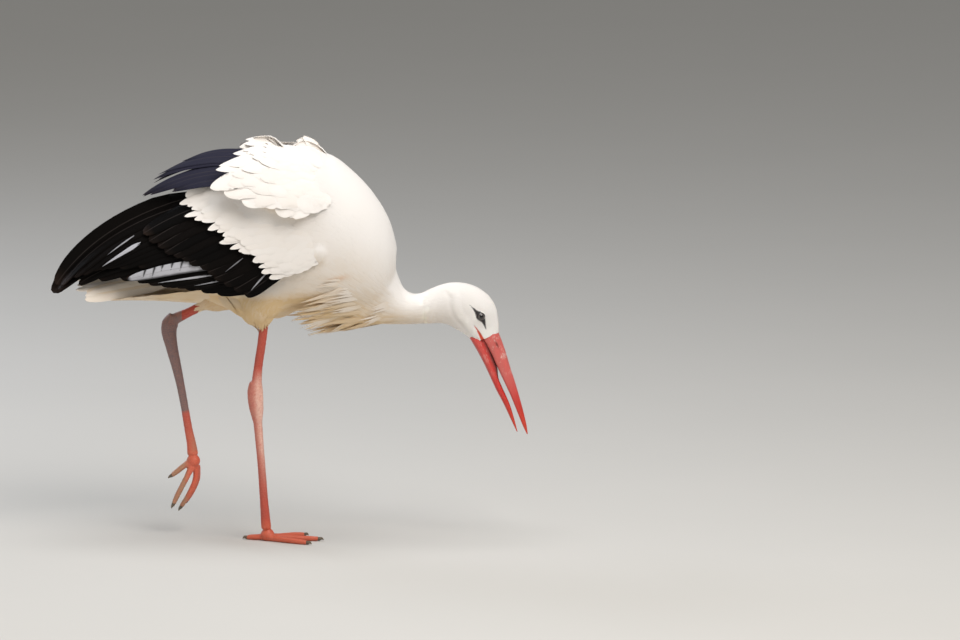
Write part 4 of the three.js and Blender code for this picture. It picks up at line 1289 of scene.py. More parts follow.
def coat_tree():
    """The node tree that plants feathers on the skin, along its lie."""
    tree = bpy.data.node_groups.new("coat of feathers", "GeometryNodeTree")
    tree.interface.new_socket("Geometry", in_out="INPUT", socket_type="NodeSocketGeometry")
    for name, kind, value in (("First feather", "Object", None), ("Second feather", "Object", None),
                              ("Third feather", "Object", None), ("Spacing", "Float", 0.005),
                              ("Width ratio", "Float", 0.5), ("Lift", "Float", 0.12),
                              ("Unevenness", "Float", 0.2), ("Mottle", "Float", 0.0), ("From", "Float", 0.0),
                              ("To", "Float", 1000.0), ("Seed", "Int", 1), ("Finish", "Material", None)):
        socket = tree.interface.new_socket(name, in_out="INPUT", socket_type="NodeSocket" + kind)
        if value is not None:
            socket.default_value = value
    tree.interface.new_socket("Geometry", in_out="OUTPUT", socket_type="NodeSocketGeometry")
    given = add(tree, "NodeGroupInput").outputs

    def named(name, kind="FLOAT"):
        return add(tree, "GeometryNodeInputNamedAttribute", {0: name}, data_type=kind).outputs[0]

    def chance(low, high, salt):
        seed = add(tree, "ShaderNodeMath", {0: given["Seed"], 1: float(salt)}, operation="ADD").outputs[0]
        return add(tree, "FunctionNodeRandomValue", {2: low, 3: high, "Seed": seed}).outputs[1]

    s = named("spine")
    inside = add(tree, "FunctionNodeBooleanMath", {
        0: add(tree, "FunctionNodeCompare", {0: s, 1: given["From"]}, operation="GREATER_EQUAL").outputs[0],
        1: add(tree, "FunctionNodeCompare", {0: s, 1: given["To"]}, operation="LESS_THAN").outputs[0],
    }).outputs[0]
    spread = add(tree, "GeometryNodeDistributePointsOnFaces", {
        "Mesh": given["Geometry"], "Selection": inside, "Distance Min": given["Spacing"],
        "Density Max": 1.0e6, "Density Factor": named("cover"), "Seed": given["Seed"],
    }, distribute_method="POISSON")
    long_ = maths(tree, "MULTIPLY", named("long"), chance(0.86, 1.16, 9))

    def keep(geometry, name, value, kind="FLOAT", domain="POINT"):
        return add(tree, "GeometryNodeStoreNamedAttribute", {
            "Geometry": geometry, "Name": name, "Value": value,
        }, data_type=kind, domain=domain).outputs[0]

    rooted = keep(spread.outputs["Points"], "facing", spread.outputs["Normal"], "FLOAT_VECTOR")
    rooted = keep(rooted, "size", long_)
    rooted = keep(rooted, "rise", maths(tree, "MULTIPLY", chance(0.5, 1.5, 5), given["Lift"]))
    rooted = keep(rooted, "tone", maths(tree, "MULTIPLY_ADD", chance(-1.0, 1.0, 3), given["Mottle"], 1.0))
    place = add(tree, "GeometryNodeInputPosition").outputs[0]

    def on_skin(name, spot, kind="FLOAT"):
        """What the skin keeps under a name where it is nearest to a spot."""
        return add(tree, "GeometryNodeSampleNearestSurface", {
            "Mesh": given["Geometry"], "Value": named(name, kind), "Sample Position": spot,
        }, data_type=kind).outputs["Value"]

    # Where the skin turns sharply under a feather, none is planted.
    reach = add(tree, "ShaderNodeVectorMath", {0: named("lie", "FLOAT_VECTOR"), "Scale": named("size")},
                operation="SCALE").outputs[0]
    tip = add(tree, "ShaderNodeVectorMath", {0: place, 1: reach}, operation="ADD").outputs[0]
    level = add(tree, "ShaderNodeVectorMath", {
        0: on_skin("out", tip, "FLOAT_VECTOR"), 1: named("facing", "FLOAT_VECTOR"),
    }, operation="DOT_PRODUCT").outputs["Value"]
    rooted = add(tree, "GeometryNodeDeleteGeometry", {
        "Geometry": rooted, "Selection": maths(tree, "LESS_THAN", level, 0.15)}, domain="POINT").outputs[0]
    facing = add(tree, "FunctionNodeAxesToRotation", {
        0: named("lie", "FLOAT_VECTOR"), 1: named("facing", "FLOAT_VECTOR"),
    }, primary_axis="X", secondary_axis="Z")
    uneven = maths(tree, "MULTIPLY", chance(-1.0, 1.0, 7), given["Unevenness"])
    turn = add(tree, "ShaderNodeCombineXYZ", {2: uneven})
    turned = add(tree, "FunctionNodeRotateRotation", {
        0: facing.outputs[0], 1: add(tree, "FunctionNodeEulerToRotation", {0: turn.outputs[0]}).outputs[0],
    }, rotation_space="LOCAL")
    wide = maths(tree, "MULTIPLY", long_, given["Width ratio"])
    size = add(tree, "ShaderNodeCombineXYZ", {0: long_, 1: wide, 2: long_})
    kinds = add(tree, "GeometryNodeJoinGeometry")
    for name in ("First feather", "Second feather", "Third feather"):
        info = add(tree, "GeometryNodeObjectInfo", {0: given[name], 1: True})
        tree.links.new(info.outputs["Geometry"], kinds.inputs[0])
    planted = add(tree, "GeometryNodeInstanceOnPoints", {
        "Points": rooted, "Instance": kinds.outputs[0], "Pick Instance": True,
        "Rotation": turned.outputs[0], "Scale": size.outputs[0],
    })
    real = add(tree, "GeometryNodeRealizeInstances", {0: planted.outputs[0]})
    # Each feather bends to the skin under it: every point is set at its own height over the
    # nearest place on the skin, a little higher towards the tip.
    under = add(tree, "GeometryNodeProximity", {0: given["Geometry"], "Sample Position": place},
                target_element="FACES").outputs["Position"]
    out = on_skin("out", place, "FLOAT_VECTOR")
    along = add(tree, "ShaderNodeSeparateXYZ", {0: named("vane", "FLOAT_VECTOR")}).outputs[1]
    height = maths(tree, "MULTIPLY", named("size"), maths(tree, "ADD", named("height"), maths(
        tree, "MULTIPLY", named("rise"), along)))
    over = add(tree, "ShaderNodeVectorMath", {0: out, "Scale": height}, operation="SCALE").outputs[0]
    spot = add(tree, "ShaderNodeVectorMath", {0: under, 1: over}, operation="ADD").outputs[0]
    turned_out = keep(real.outputs[0], "facing", out, "FLOAT_VECTOR")
    for name in ("warm", "rust", "dark"):
        # Markings, the cream painted shade among them, cross from feather to feather as they lie on the skin.
        mark = on_skin(name, place)
        if name == "warm":
            mark = maths(tree, "MULTIPLY", mark, named("tone"))
        turned_out = keep(turned_out, name, mark)
    bent = add(tree, "GeometryNodeSetPosition", {"Geometry": turned_out, "Position": spot}).outputs[0]
    patch = add(tree, "ShaderNodeVectorMath", {0: named("vane", "FLOAT_VECTOR"), 1: (0.003, 0.003, 0.0)},
                operation="MULTIPLY")
    strip = add(tree, "ShaderNodeVectorMath", {0: named("unwrap", "FLOAT_VECTOR"), 1: patch.outputs[0]},
                operation="ADD")
    stored = keep(bent, "OFBake", strip.outputs[0], "FLOAT2", "CORNER")
    dressed = add(tree, "GeometryNodeSetMaterial", {"Geometry": stored, "Material": given["Finish"]})
    add(tree, "NodeGroupOutput", {0: dressed.outputs[0]})
    return tree


class STORK_OT_coat(bpy.types.Operator):
    """The small feathers of head, neck, breast, back and thighs, planted on the skin"""

    bl_idname = "stork.coat"
    bl_label = "Coat of small feathers"

    def execute(self, context):
        tree = coat_tree()
        identifiers = {item.name: item.identifier for item in tree.interface.items_tree
                       if item.in_out == "INPUT"}
        variants = {kind: [blade(f"{kind}_feather_{i}", *form, seed + i) for i in range(3)]
                    for kind, (*form, seed) in FEATHER_FORMS.items()}
        white = feather("white")
        skin = bpy.data.objects["skin"]
        for part, (kind, spacing, ratio, lift, uneven, mottle, low, high) in COATS.items():
            name = f"coat_{part}"
            obj = bpy.data.objects.new(name, skin.data.copy())
            context.scene.collection.objects.link(obj)
            modifier = obj.modifiers.new("coat", "NODES")
            modifier.node_group = tree
            first, second, third = variants[kind]
            for key, value in {
                "First feather": first, "Second feather": second, "Third feather": third,
                "Spacing": spacing, "Width ratio": ratio, "Lift": lift, "Unevenness": uneven,
                "Mottle": mottle, "From": float(low), "To": float(high), "Seed": 5, "Finish": white,
            }.items():
                modifier[identifiers[key]] = value
            mesh = baked(obj, name)
            toward = np.empty(len(mesh.vertices) * 3)
            mesh.attributes["facing"].data.foreach_get("vector", toward)
            soften(mesh, toward.reshape(-1, 3), 0.91)
            for spare in SPARE_VALUES:
                if spare in mesh.attributes:
                    mesh.attributes.remove(mesh.attributes[spare])
            if not len(mesh.polygons):
                raise RuntimeError(f"{name} has no feathers")
            grown = bpy.data.objects.new(name, mesh)
            context.scene.collection.objects.link(grown)
            finish_piece(grown, None)
        for obj in sum(variants.values(), []):
            bpy.data.objects.remove(obj)
        return {"FINISHED"}


# ---------------------------------------------------------------- wings, shoulders, tail and bib


def flight_rows(count, wide, tip, marks, first=0.03, last=0.97, root=0.02, lift=1.6):
    """One long feather at each of `count` places across a fan, the upper ones over the lower."""
    rows = []
    for i in range(count):
        v = first + (last - first) * i / (count - 1)
        rows.append({
            "start": [(root, v)], "end": [(tip(v), v)], "wide": wide(v), "lift": lift, "sink": 0.2,
            "tilt": 1.5, "camber": 1.0, "shape": (0.55, 0.2, 7, 0.42), "fray": 0.06, "hold": 0.8,
            "marks": marks(v),
        })
    return rows


# The dark gaps across the silvery web: how far along it each one lies, and how deep it cuts.
WEB_GAPS = ((0.84, 0.9), (0.745, 0.95), (0.665, 0.5), (0.57, 0.6), (0.475, 0.85), (0.39, 0.7))


def dress_wing(side, hand):
    """The black layers of one folded wing, and the silvery webs that show among them."""
    black = feather("black")
    random = np.random.default_rng(31 if side == RIGHT else 32)

    def plain(v):
        tip = 0.9 if v < 0.1 else 0.25
        return inked(lambda a, t, c: 0.04 + tip * ramp(t, 0.88, 1.0) + 0.1 * c)

    def slip(start, end, wide, stand, silver=1.0, shape=(0.4, 0.3, 2.0, 0.8)):
        """A narrow web with a silvery bloom that shows over the feathers of its layer."""
        return {"start": [start], "end": [end], "wide": wide, "lift": stand, "sink": stand - 1.5, "curl": 0.4,
                "camber": 0.5, "shape": shape, "marks": inked(0.1, silver)}

    primaries = lay_vanes(f"primaries_{hand}", wing_sheet("primaries", side), flight_rows(
        9, lambda v: 12 + 3 * v, lambda v: 1.0 - 0.02 * (v > 0.4), plain, lift=0.6), 3, stations=16)
    finish_piece(primaries, black, [f"wing_primaries_{hand}"])

    def reach(v):
        return 1.0 - 0.05 * random.random() - 0.12 * ramp(v, 0.4, 0.6)

    secondaries = lay_vanes(f"secondaries_{hand}", wing_sheet("secondaries", side), flight_rows(
        12, lambda v: 18 - 8 * v, reach, plain, last=0.72) + [
        slip((0.54, 0.30), (1.0, 0.392), 4.4, 3.0, shape=(0.5, 0.2, 1.3, 1.0)),
        slip((0.50, 0.197), (0.75, 0.244), 1.6, 3.0, 0.7)], 4, columns=7, stations=18)
    finish_piece(secondaries, black, [f"wing_secondaries_{hand}"])

    def notched(a, t, c):
        # The silvery web, cut from its upper edge by dark slanting gaps.
        high = (1 - a) / 2
        web = ramp(t, 0.1, 0.2) * (1 - ramp(t, 0.95, 1.0)) * (1 - 0.9 * ramp(a, 0.55, 0.95))
        for where, deep in WEB_GAPS:
            middle = where - 0.05 * (high - 0.3)
            wide = 0.015 * ramp(high, 1 - deep, 1.0) + 1e-4
            web = web * (1 - (high > 1 - deep) * np.exp(-((t - middle) / wide) ** 2))
        return web

    lower = lay_vanes(f"lower_webs_{hand}", wing_sheet("lower_webs", side), flight_rows(
        6, lambda v: 8.5 - 3.5 * v, lambda v: 1.0, plain, lift=0.4) + [
        slip((0.33, 0.50), (0.90, 0.42), 1.8, 4.0, 0.9), slip((0.32, 0.80), (0.82, 0.85), 1.2, 4.0, 0.6)],
        6, columns=7, stations=16)
    finish_piece(lower, black)
    web = lay_vanes(f"silver_web_{hand}", wing_sheet("lower_webs", side), [{
        "start": [(0.0, 0.06)], "end": [(1.0, 0.06)], "wide": 10.0, "lift": 5.0, "sink": 6.5, "camber": 1.5,
        "tilt": -1.0, "shape": (0.5, 0.2, 5, 0.5), "fray": 0.1,
        "marks": inked(0.2, notched),
    }], 7, columns=13, stations=110, rounded=0.15)
    finish_piece(web, black)

    coverts = lay_vanes(f"greater_coverts_{hand}", wing_sheet("greater_coverts", side), flight_rows(
        13, lambda v: 17 - 4 * v, lambda v: 1.0 - 0.05 * random.random(), plain, root=0.0, lift=1.8) + [
        slip((0.50, 0.673), (0.80, 0.72), 1.1, 4.0, 0.45), slip((0.43, 0.92), (0.83, 0.966), 1.5, 4.0, 0.7)],
        5, columns=7, stations=14)
    finish_piece(coverts, black, [f"wing_greater_coverts_{hand}"])


class STORK_OT_wings(bpy.types.Operator):
    """The black feathers of both folded wings: primaries, secondaries and greater coverts"""

    bl_idname = "stork.wings"
    bl_label = "Wings"

    def execute(self, context):
        for side, hand in SIDES:
            dress_wing(side, hand)
        return {"FINISHED"}


def tiled_rows(surface, tips, lengths, counts, wide, seed, over, marks, top_v=1.0, soft_rows=0, **more):
    """Rows of overlapping feathers that tile a surface from its front to its back edge."""
    random = np.random.default_rng(seed)
    at, _ = surface
    rows = []
    for k, (tip, length, count) in enumerate(zip(tips, lengths, counts)):
        v = (np.arange(count) + 0.5 + 0.5 * (k % 2) - 0.25) / count
        v = np.clip(v + random.normal(0, 0.12 / count, count), 0.0, 1.0) * top_v
        span = np.linalg.norm(at(np.ones(count), v) - at(np.zeros(count), v), axis=-1)
        ends = tip + random.normal(0, 2.0, count) / span
        starts = ends - length * random.uniform(0.92, 1.08, count) / span
        rows.append({
            "start": np.stack([starts, v], 1),
            "end": np.stack([ends, v + random.normal(0, 0.006, count)], 1),
            "wide": wide[k] * random.uniform(0.9, 1.1, count), "over": over, "marks": marks,
            "lift": random.uniform(0.2, 0.8, count), "sink": -3.4, "tilt": random.normal(0.1, 0.15, count),
            "camber": 0.5, "fray": 0.3, "shape": (0.5, 0.35, 4.5, 0.55), **more,
        })
        if k < soft_rows:
            # The fore rows sink into the coat, so that no edge of theirs stands out.
            rows[-1]["lift"] = -2.4 + 1.2 * k / soft_rows + 0.1 * random.random(count)
            rows[-1]["bow"], rows[-1]["camber"], rows[-1]["tilt"] = 1.4, 1.3, 0.0
    return rows


class STORK_OT_coverts(bpy.types.Operator):
    """The white coverts over the fore part of both wings, in rows that end in a scalloped edge"""

    bl_idname = "stork.coverts"
    bl_label = "White coverts"

    def execute(self, context):
        white = feather("white")
        marks = soiled_and_shaded(lambda a, t, c: 0.06 + 0.06 * c)
        count = 8
        k = np.arange(count) / (count - 1)
        for side, hand in SIDES:
            surface = wing_sheet("coverts", side)
            rows = tiled_rows(surface, 0.36 + 0.62 * k, 44 + 16 * k, [15] * 3 + [13] * 3 + [15, 19],
                              np.append(12 + 2 * k[:6], [11, 9]), 40 + side, layer_swell(7), marks,
                              soft_rows=6)
            last = rows[-1]
            random = np.random.default_rng(44 + side)
            many = len(last["wide"])
            last["end"] = last["end"] + np.stack([random.uniform(-0.06, 0.05, many),
                                                  random.normal(0.02, 0.012, many)], 1)
            last["wide"] = last["wide"] * random.uniform(0.75, 1.2, many)
            last["lift"], last["tilt"], last["fray"] = 1.0, random.normal(0.4, 0.3, many), 0.4
            last["shape"] = (0.5, 0.35, 3.4, 0.6)
            obj = lay_vanes(f"white_coverts_{hand}", surface, rows, 41 + side, stations=12, soft=0.9,
                            rounded=0.06)
            finish_piece(obj, white, [f"wing_coverts_{hand}"])
        return {"FINISHED"}


# Two places of the mound where its feathers stand up: where they root, as u and v of the mound's
# surface, and where each tip comes to, with how far it rises, in mm.
SHOULDER_CRESTS = (
    ((0.72, 0.10), ((0.99, 0.0, 0), (1.03, 0.04, -2), (1.08, 0.08, -3))),
    ((0.20, 0.10), ((0.50, 0.0, 5), (0.42, 0.03, 9), (0.56, 0.07, 0))),
)


class STORK_OT_shoulders(bpy.types.Operator):
    """The ruffled white shoulder feathers, and the long black plumes that come from under them"""

    bl_idname = "stork.shoulders"
    bl_label = "Shoulder feathers"

    def execute(self, context):
        white = feather("white")
        black = feather("black")
        marks = soiled_and_shaded(lambda a, t, c: 0.05 + 0.08 * c)
        count = 7
        k = np.arange(count) / (count - 1)
        for side, hand in SIDES:
            surface = shoulder_sheet("scapulars", side)
            rows = tiled_rows(surface, 0.42 + 0.62 * k, 50 + 24 * k, [12, 11, 11, 10, 10, 9, 9], 14 + 4 * k,
                              50 + side, layer_swell(9, True), marks, top_v=0.9, soft_rows=3,
                              shape=(0.5, 0.35, 2.6, 0.7))
            random = np.random.default_rng(57 + side)
            for row in rows[3:]:
                # Ruffled: some stand well off, and no two end in line.
                many = len(row["wide"])
                row["end"] = row["end"] + np.stack([random.uniform(-0.06, 0.04, many),
                                                    random.normal(0, 0.03, many)], 1)
                low = ramp(row["start"][:, 1], 0.35, 0.75)
                row["lift"] = random.uniform(0.0, 2.0, many) * (1 - low) - 1.2 * low
                row["tilt"] = random.normal(0.3, 0.5, many) * (1 - low)
                row["camber"], row["bow"] = 0.5 + low, 1.4 * low
                row["wide"] = row["wide"] * (1 + 0.3 * low)
                row["shape"] = (0.5, 0.35, 2.5 + 2.5 * low[:, None], 0.72 - 0.22 * low[:, None])
            for base, tips in SHOULDER_CRESTS:
                random = np.random.default_rng(len(rows))
                count = len(tips)
                rows.append({
                    "start": np.array([base] * count) + random.normal(0, 0.03, (count, 2)),
                    "end": np.array([[u, v] for u, v, _ in tips]), "wide": random.uniform(12, 15, count),
                    "over": layer_swell(9, True), "sink": -4.0, "lift": 1.0,
                    "drift": np.array([[0, 0, rise] for _, _, rise in tips]), "curl": 1.6,
                    "tilt": random.uniform(-9, -6, count), "camber": 1.0, "fray": 0.2,
                    "shape": (0.5, 0.3, 2.2, 0.8), "marks": marks,
                })
            obj = lay_vanes(f"shoulder_feathers_{hand}", surface, rows, 51 + side, stations=12,
                            soft=0.88, rounded=0.1)
            finish_piece(obj, white, [f"scapulars_{hand}"])
            surface = shoulder_sheet("long_scapulars", side)
            plumes = []
            for v, tip, wide in ((0.05, 0.94, 13), (0.25, 1.0, 15), (0.36, 0.97, 11), (0.62, 1.0, 15),
                                 (0.72, 0.95, 13), (0.93, 0.92, 12)):
                plumes.append({
                    "start": [(0.0, v)], "end": [(tip, v)], "wide": wide, "lift": 1.5, "sink": 0,
                    "tilt": 1.2, "camber": 2.6, "shape": (0.6, 0.25, 2.4, 0.7),
                    # The violet is painted sheen, fainter towards the worn tip.
                    "marks": inked(lambda a, t, c: 0.8 * ramp(t, 0.86, 1.0),
                                   violet=lambda a, t, c: 0.95 - 0.5 * ramp(t, 0.7, 1.0)),
                })
            obj = lay_vanes(f"long_shoulder_plumes_{hand}", surface, plumes, 61 + side, columns=9,
                            stations=20)
            finish_piece(obj, black, [f"long_scapulars_{hand}"])
        return {"FINISHED"}


class STORK_OT_tail(bpy.types.Operator):
    """The short white tail that shows under the wings' tips"""

    bl_idname = "stork.tail"
    bl_label = "Tail"

    def execute(self, context):
        white = feather("white")
        surface = sheet_of(*lists_of(TAIL), (0, 0, 1))
        rows = []
        for i in range(12):
            v = 0.03 + 0.94 * i / 11
            outer = abs(v - 0.5) * 2
            rows.append({
                "start": [(-0.1, v)], "end": [(1.0 - 0.05 * (i % 3), v)], "wide": 11,
                "lift": 1.5 - 2.5 * outer, "sink": 1 - outer, "tilt": 1.0 if v < 0.5 else -1.0, "camber": 1.0,
                "shape": (0.6, 0.3, 5, 0.5), "fray": 0.15,
                # The tail's cream is painted shade, for where it lies under the wings.
                "marks": soiled_and_shaded(lambda a, t, c: 0.35 + 0.3 * c),
            })
        obj = lay_vanes("tail_feathers", surface, rows, 71, columns=7, stations=14, thick=0.7)
        finish_piece(obj, white, ["tail"])
        surface = sheet_of(*lists_of(UNDER_TAIL), (0, 0, -1))
        k = np.arange(6) / 5
        # The under tail's cream is painted shade, for its underside.
        rows = tiled_rows(surface, 0.35 + 0.68 * k, 48 + 20 * k, [13] * 6, 8 + 2 * k, 72, None,
                          soiled_and_shaded(lambda a, t, c: 0.25 + 0.15 * c), soft_rows=5)
        obj = lay_vanes("under_tail_feathers", surface, rows, 73, soft=0.9, rounded=0.08)
        finish_piece(obj, white)
        return {"FINISHED"}


# The locks that catch the light on each side of the breast: where each roots and where it ends,
# as u and v of the breast's surface, and its half width in mm.
BREAST_LOCKS = (
    (0.48, 0.93, 0.96, 0.97, 6), (0.25, 0.86, 0.70, 0.87, 7), (0.18, 0.76, 0.80, 0.75, 7),
    (0.36, 0.62, 0.68, 0.56, 6), (0.20, 0.44, 0.46, 0.36, 5), (0.02, 0.60, 0.32, 0.55, 6),
    (0.55, 0.72, 1.02, 0.46, 6), (0.50, 0.80, 0.98, 0.58, 6), (0.60, 0.46, 0.98, 0.34, 6),
    (0.58, 0.36, 0.95, 0.17, 6), (0.45, 0.24, 0.80, 0.12, 6), (0.05, 0.92, 0.42, 0.96, 6),
)


def plume_row(random, start, end, count, wide, warm, paler=0.0, stand=0.0):
    """One row of loose plumes across a surface, from u of their roots to u of their tips. Their cream is
    painted shade, and they get paler towards greater v."""
    v = (np.arange(count) + random.uniform(0.2, 0.8, count)) / count
    return {
        "start": np.stack([np.full(count, start) + random.uniform(-0.04, 0.04, count), v], 1),
        "end": np.stack([end + random.uniform(-0.1, 0.05, count),
                         v + random.normal(-0.05, 0.035, count)], 1),
        "wide": wide * random.uniform(0.7, 1.05, count), "lift": random.uniform(-3.1, -2.3, count) + stand,
        "sink": -9.5 + 1.6 * stand, "curl": 0.8, "tilt": random.normal(0, 0.1, count), "camber": 0.5,
        "sway": random.normal(0, 1.6, count), "shape": (0.1, 0.5, 1.8, 0.85), "fray": 0.1,
        "marks": soiled_and_shaded(np.clip(warm - paler * v, 0.15, 1)[:, None, None]),
    }


class STORK_OT_bib(bpy.types.Operator):
    """The long loose plumes of the lower neck and the breast, and those over the standing leg"""

    bl_idname = "stork.bib"
    bl_label = "Bib plumes"

    def execute(self, context):
        white = feather("white")
        surface = sheet_of(*lists_of(BIB), (0, 0, -1))
        random = np.random.default_rng(81)
        # The bib's plumes hang in shade under the neck: their deep cream is painted shade.
        rows = [plume_row(random, *row, 0.85) for row in (
            (0.0, 0.5, 9, 8), (0.1, 0.68, 10, 8), (0.22, 0.85, 11, 8), (0.36, 1.0, 12, 7))]
        obj = lay_vanes("bib_feathers", surface, rows, 82, stations=12, soft=0.88, rounded=0.08)
        finish_piece(obj, white, ["bib_plumes"])
        for side, hand in SIDES:
            surface = breast_sheet(side)
            # Lower on the breast the plumes take more cream painted shade.
            rows = [plume_row(random, *row, 0.9, paler=0.7) for row in (
                (0.22, 0.76, 11, 7), (0.34, 0.9, 12, 7), (0.46, 1.02, 13, 6.4))]
            for u0, v0, u1, v1, wide in BREAST_LOCKS:
                count = 4
                v = random.normal(0, 0.022, count)
                rows.append({
                    "start": np.stack([np.full(count, u0 - 0.06), v0 + v * 0.5], 1),
                    "end": np.stack([u1 + random.uniform(-0.07, 0.01, count), v1 + v], 1),
                    "wide": wide * random.uniform(0.6, 0.85, count),
                    "lift": random.uniform(-2.5, -2.0, count),
                    "sink": -9.5, "curl": 0.6, "tilt": random.normal(0, 0.1, count), "camber": 0.5,
                    "sway": random.normal(0, 1.4, count), "shape": (0.06, 0.66, 1.7, 1.0), "fray": 0.1,
                    # Deeper cream towards the root, where the lock lies under others: painted shade.
                    "marks": soiled_and_shaded(lambda a, t, c: 0.12 + 0.3 * (1 - ramp(t, 0.2, 0.7))),
                })
            if side == RIGHT:
                trousers = sheet_of(*lists_of(TROUSERS), (0, -1, -0.3))
                # The plumes over the standing leg hang under the belly, in cream painted shade.
                loose = [plume_row(random, *row, 0.72, stand=3.2) for row in (
                    (0.0, 0.62, 15, 7), (0.1, 0.76, 15, 7), (0.2, 0.9, 14, 6), (0.3, 1.0, 12, 5))]
                loose = lay_vanes("thigh_plumes_right", trousers, loose, 88, stations=12, soft=0.9,
                                  rounded=0.08)
                finish_piece(loose, white)
            obj = lay_vanes(f"breast_plumes_{hand}", surface, rows, 84 + side, stations=12, soft=0.9,
                            rounded=0.08)
            finish_piece(obj, white)
        return {"FINISHED"}


# ---------------------------------------------------------------- bill, eyes and claws


def bill_material():
    """Horn of the bill: a hard smooth sheath, deep red and a little orange towards the tip, with chalky
    scuffs along its length, and painted shadow in its nostrils, in its trough and along the lower half's
    keel."""
    tints = paint()
    material, tree = new_material("bill horn")
    place = add(tree, "ShaderNodeTexCoord").outputs["Object"]
    # The sheath's growth streaks run down the bill, a millimetre or so apart.
    run = add(tree, "ShaderNodeMapping", {0: place, 2: (0, math.radians(-17), 0), 3: (300, 300, 22)})
    streak = add(tree, "ShaderNodeTexNoise", {"Vector": run.outputs[0], "Scale": 1.0,
                                              "Detail": 4.0}).outputs[0]
    cloud = add(tree, "ShaderNodeTexNoise", {"Vector": place, "Scale": 70.0, "Detail": 4.0}).outputs[0]
    drawn = add(tree, "ShaderNodeMapping", {0: place, 2: (0, math.radians(-17), 0), 3: (520, 520, 190)})
    fleck = add(tree, "ShaderNodeTexNoise", {"Vector": drawn.outputs[0], "Scale": 1.0, "Detail": 3.0,
                                             "Roughness": 0.7}).outputs[0]
    base = blend(tree, streak, tints.bill_red[:], tints.bill_deep[:])
    base = blend(tree, maths(tree, "MULTIPLY", value_of(tree, "tip"), 0.75), base, tints.bill_orange[:])
    base = blend(tree, value_of(tree, "film"), base, tints.bill_scuff[:])
    patchy = maths(tree, "MULTIPLY", fleck, cloud)
    rubbed = add(tree, "ShaderNodeMapRange", {"Value": patchy, 1: 0.27, 2: 0.33})
    base = blend(tree, maths(tree, "MULTIPLY", rubbed.outputs[0], value_of(tree, "scuff")), base,
                 tints.bill_scuff[:])
    base = blend(tree, value_of(tree, "shadow"), base, tints.bill_dark[:])
    rough = maths(tree, "MULTIPLY_ADD", cloud, 0.22, 0.26)
    bump = add(tree, "ShaderNodeBump", {"Height": streak, "Strength": 0.25, "Distance": 0.0005})
    shade(tree, base, rough, bump.outputs[0], **{
        "IOR": 1.54, "Specular IOR Level": 0.5, "Subsurface Weight": 0.08, "Subsurface Scale": 0.003})
    return material


class STORK_OT_bill(bpy.types.Operator):
    """Both halves of the bill, slightly open, with ridge, nostrils, cutting edges and trough"""

    bl_idname = "stork.bill"
    bl_label = "Bill"

    def execute(self, context):
        material = bill_material()
        for name, stations, is_upper in (("upper", UPPER_BILL, True), ("lower", LOWER_BILL, False)):
            rings, sides = 110, 44
            shape = {"crest": 0.8} if is_upper else {"keel": 0.8}
            points = band(stations, rings, sides, mouth=0.5, **shape)
            t = np.broadcast_to(np.linspace(0, 1, rings)[:, None], points.shape[:2])
            angle = np.broadcast_to(2 * np.pi * np.arange(sides) / sides, points.shape[:2])
            lift = np.cos(angle) * (1 if is_upper else -1)
            middle = points.mean(1, keepdims=True)
            toward = middle - points
            # The mouth side is a trough between two cutting edges. On the lower half a wall rises inside it
            # to close the gap; wall and trough are painted in shadow.
            hollow = ramp(-lift, 0.9, 1.0) * ramp(t, 0.1, 0.3)
            inner = (-lift > 0.95) & (-lift < 0.995)
            rise = 6.6 * ramp(t, 0.02, 0.08) * (1 - ramp(t, 0.36, 0.5)) * inner * (not is_upper)
            hollow = hollow * (rise <= 0)
            points = points + toward * (hollow * 0.6)[..., None] - unit(toward) * rise[..., None]
            side = np.stack([0 * t, np.sign(points[..., 1]), 0 * t], -1)
            film = 0.1 * (1 - ramp(t, 0.3, 0.6))
            dark = np.maximum(hollow * 0.75, (rise > 0) * 1.0)
            if is_upper:
                x, z = points[..., 0], points[..., 2]
                slit = np.exp(-(((x - 372.5) * 0.93 + (z - 323) * 0.36) / 1.5) ** 2
                              - (((z - 323) * 0.93 - (x - 372.5) * 0.36) / 5.5) ** 2) * (np.abs(lift) < 0.95)
                points = points - side * (slit * 2.2)[..., None]
                groove = np.exp(-((lift - 0.35) / 0.16) ** 2) * ramp(t, 0.1, 0.16) * (1 - ramp(t, 0.3, 0.5))
                points = points - side * (groove * 0.5)[..., None]
                dark = np.maximum(dark, slit * 0.95)
                scuff = ramp(lift, -0.5, 0.2) * ramp(t, 0.08, 0.14) * (1 - ramp(t, 0.3, 0.5))
                film = 0.24 * (1 - ramp(t, 0.4, 0.75))
            else:
                scuff = 0.35 * ramp(-lift, -0.9, 0.3) * ramp(t, 0.1, 0.2) * (1 - ramp(t, 0.3, 0.5))
                # A dark line along the lower half's keel: painted shade where it turns away from the light.
                edge = ramp(lift, 0.7, 1.0) * ramp(t, 0.1, 0.2) * (1 - ramp(t, 0.3, 0.55)) * 0.6
                dark = np.maximum(dark, edge)
            obj = mesh_object(f"bill_horn_{name}", *tube(points))
            keep_values(obj.data, tip=np.append(ramp(t, 0.55, 1.0).ravel() * 0.9, [0, 1]),
                        scuff=np.append(scuff.ravel(), [0, 0]), film=np.append(film.ravel(), [0, 0]),
                        shadow=np.append(dark.ravel(), [0, 0]))
            turn_out(obj.data)
            finish_piece(obj, material, [f"bill_{name}"])
        return {"FINISHED"}


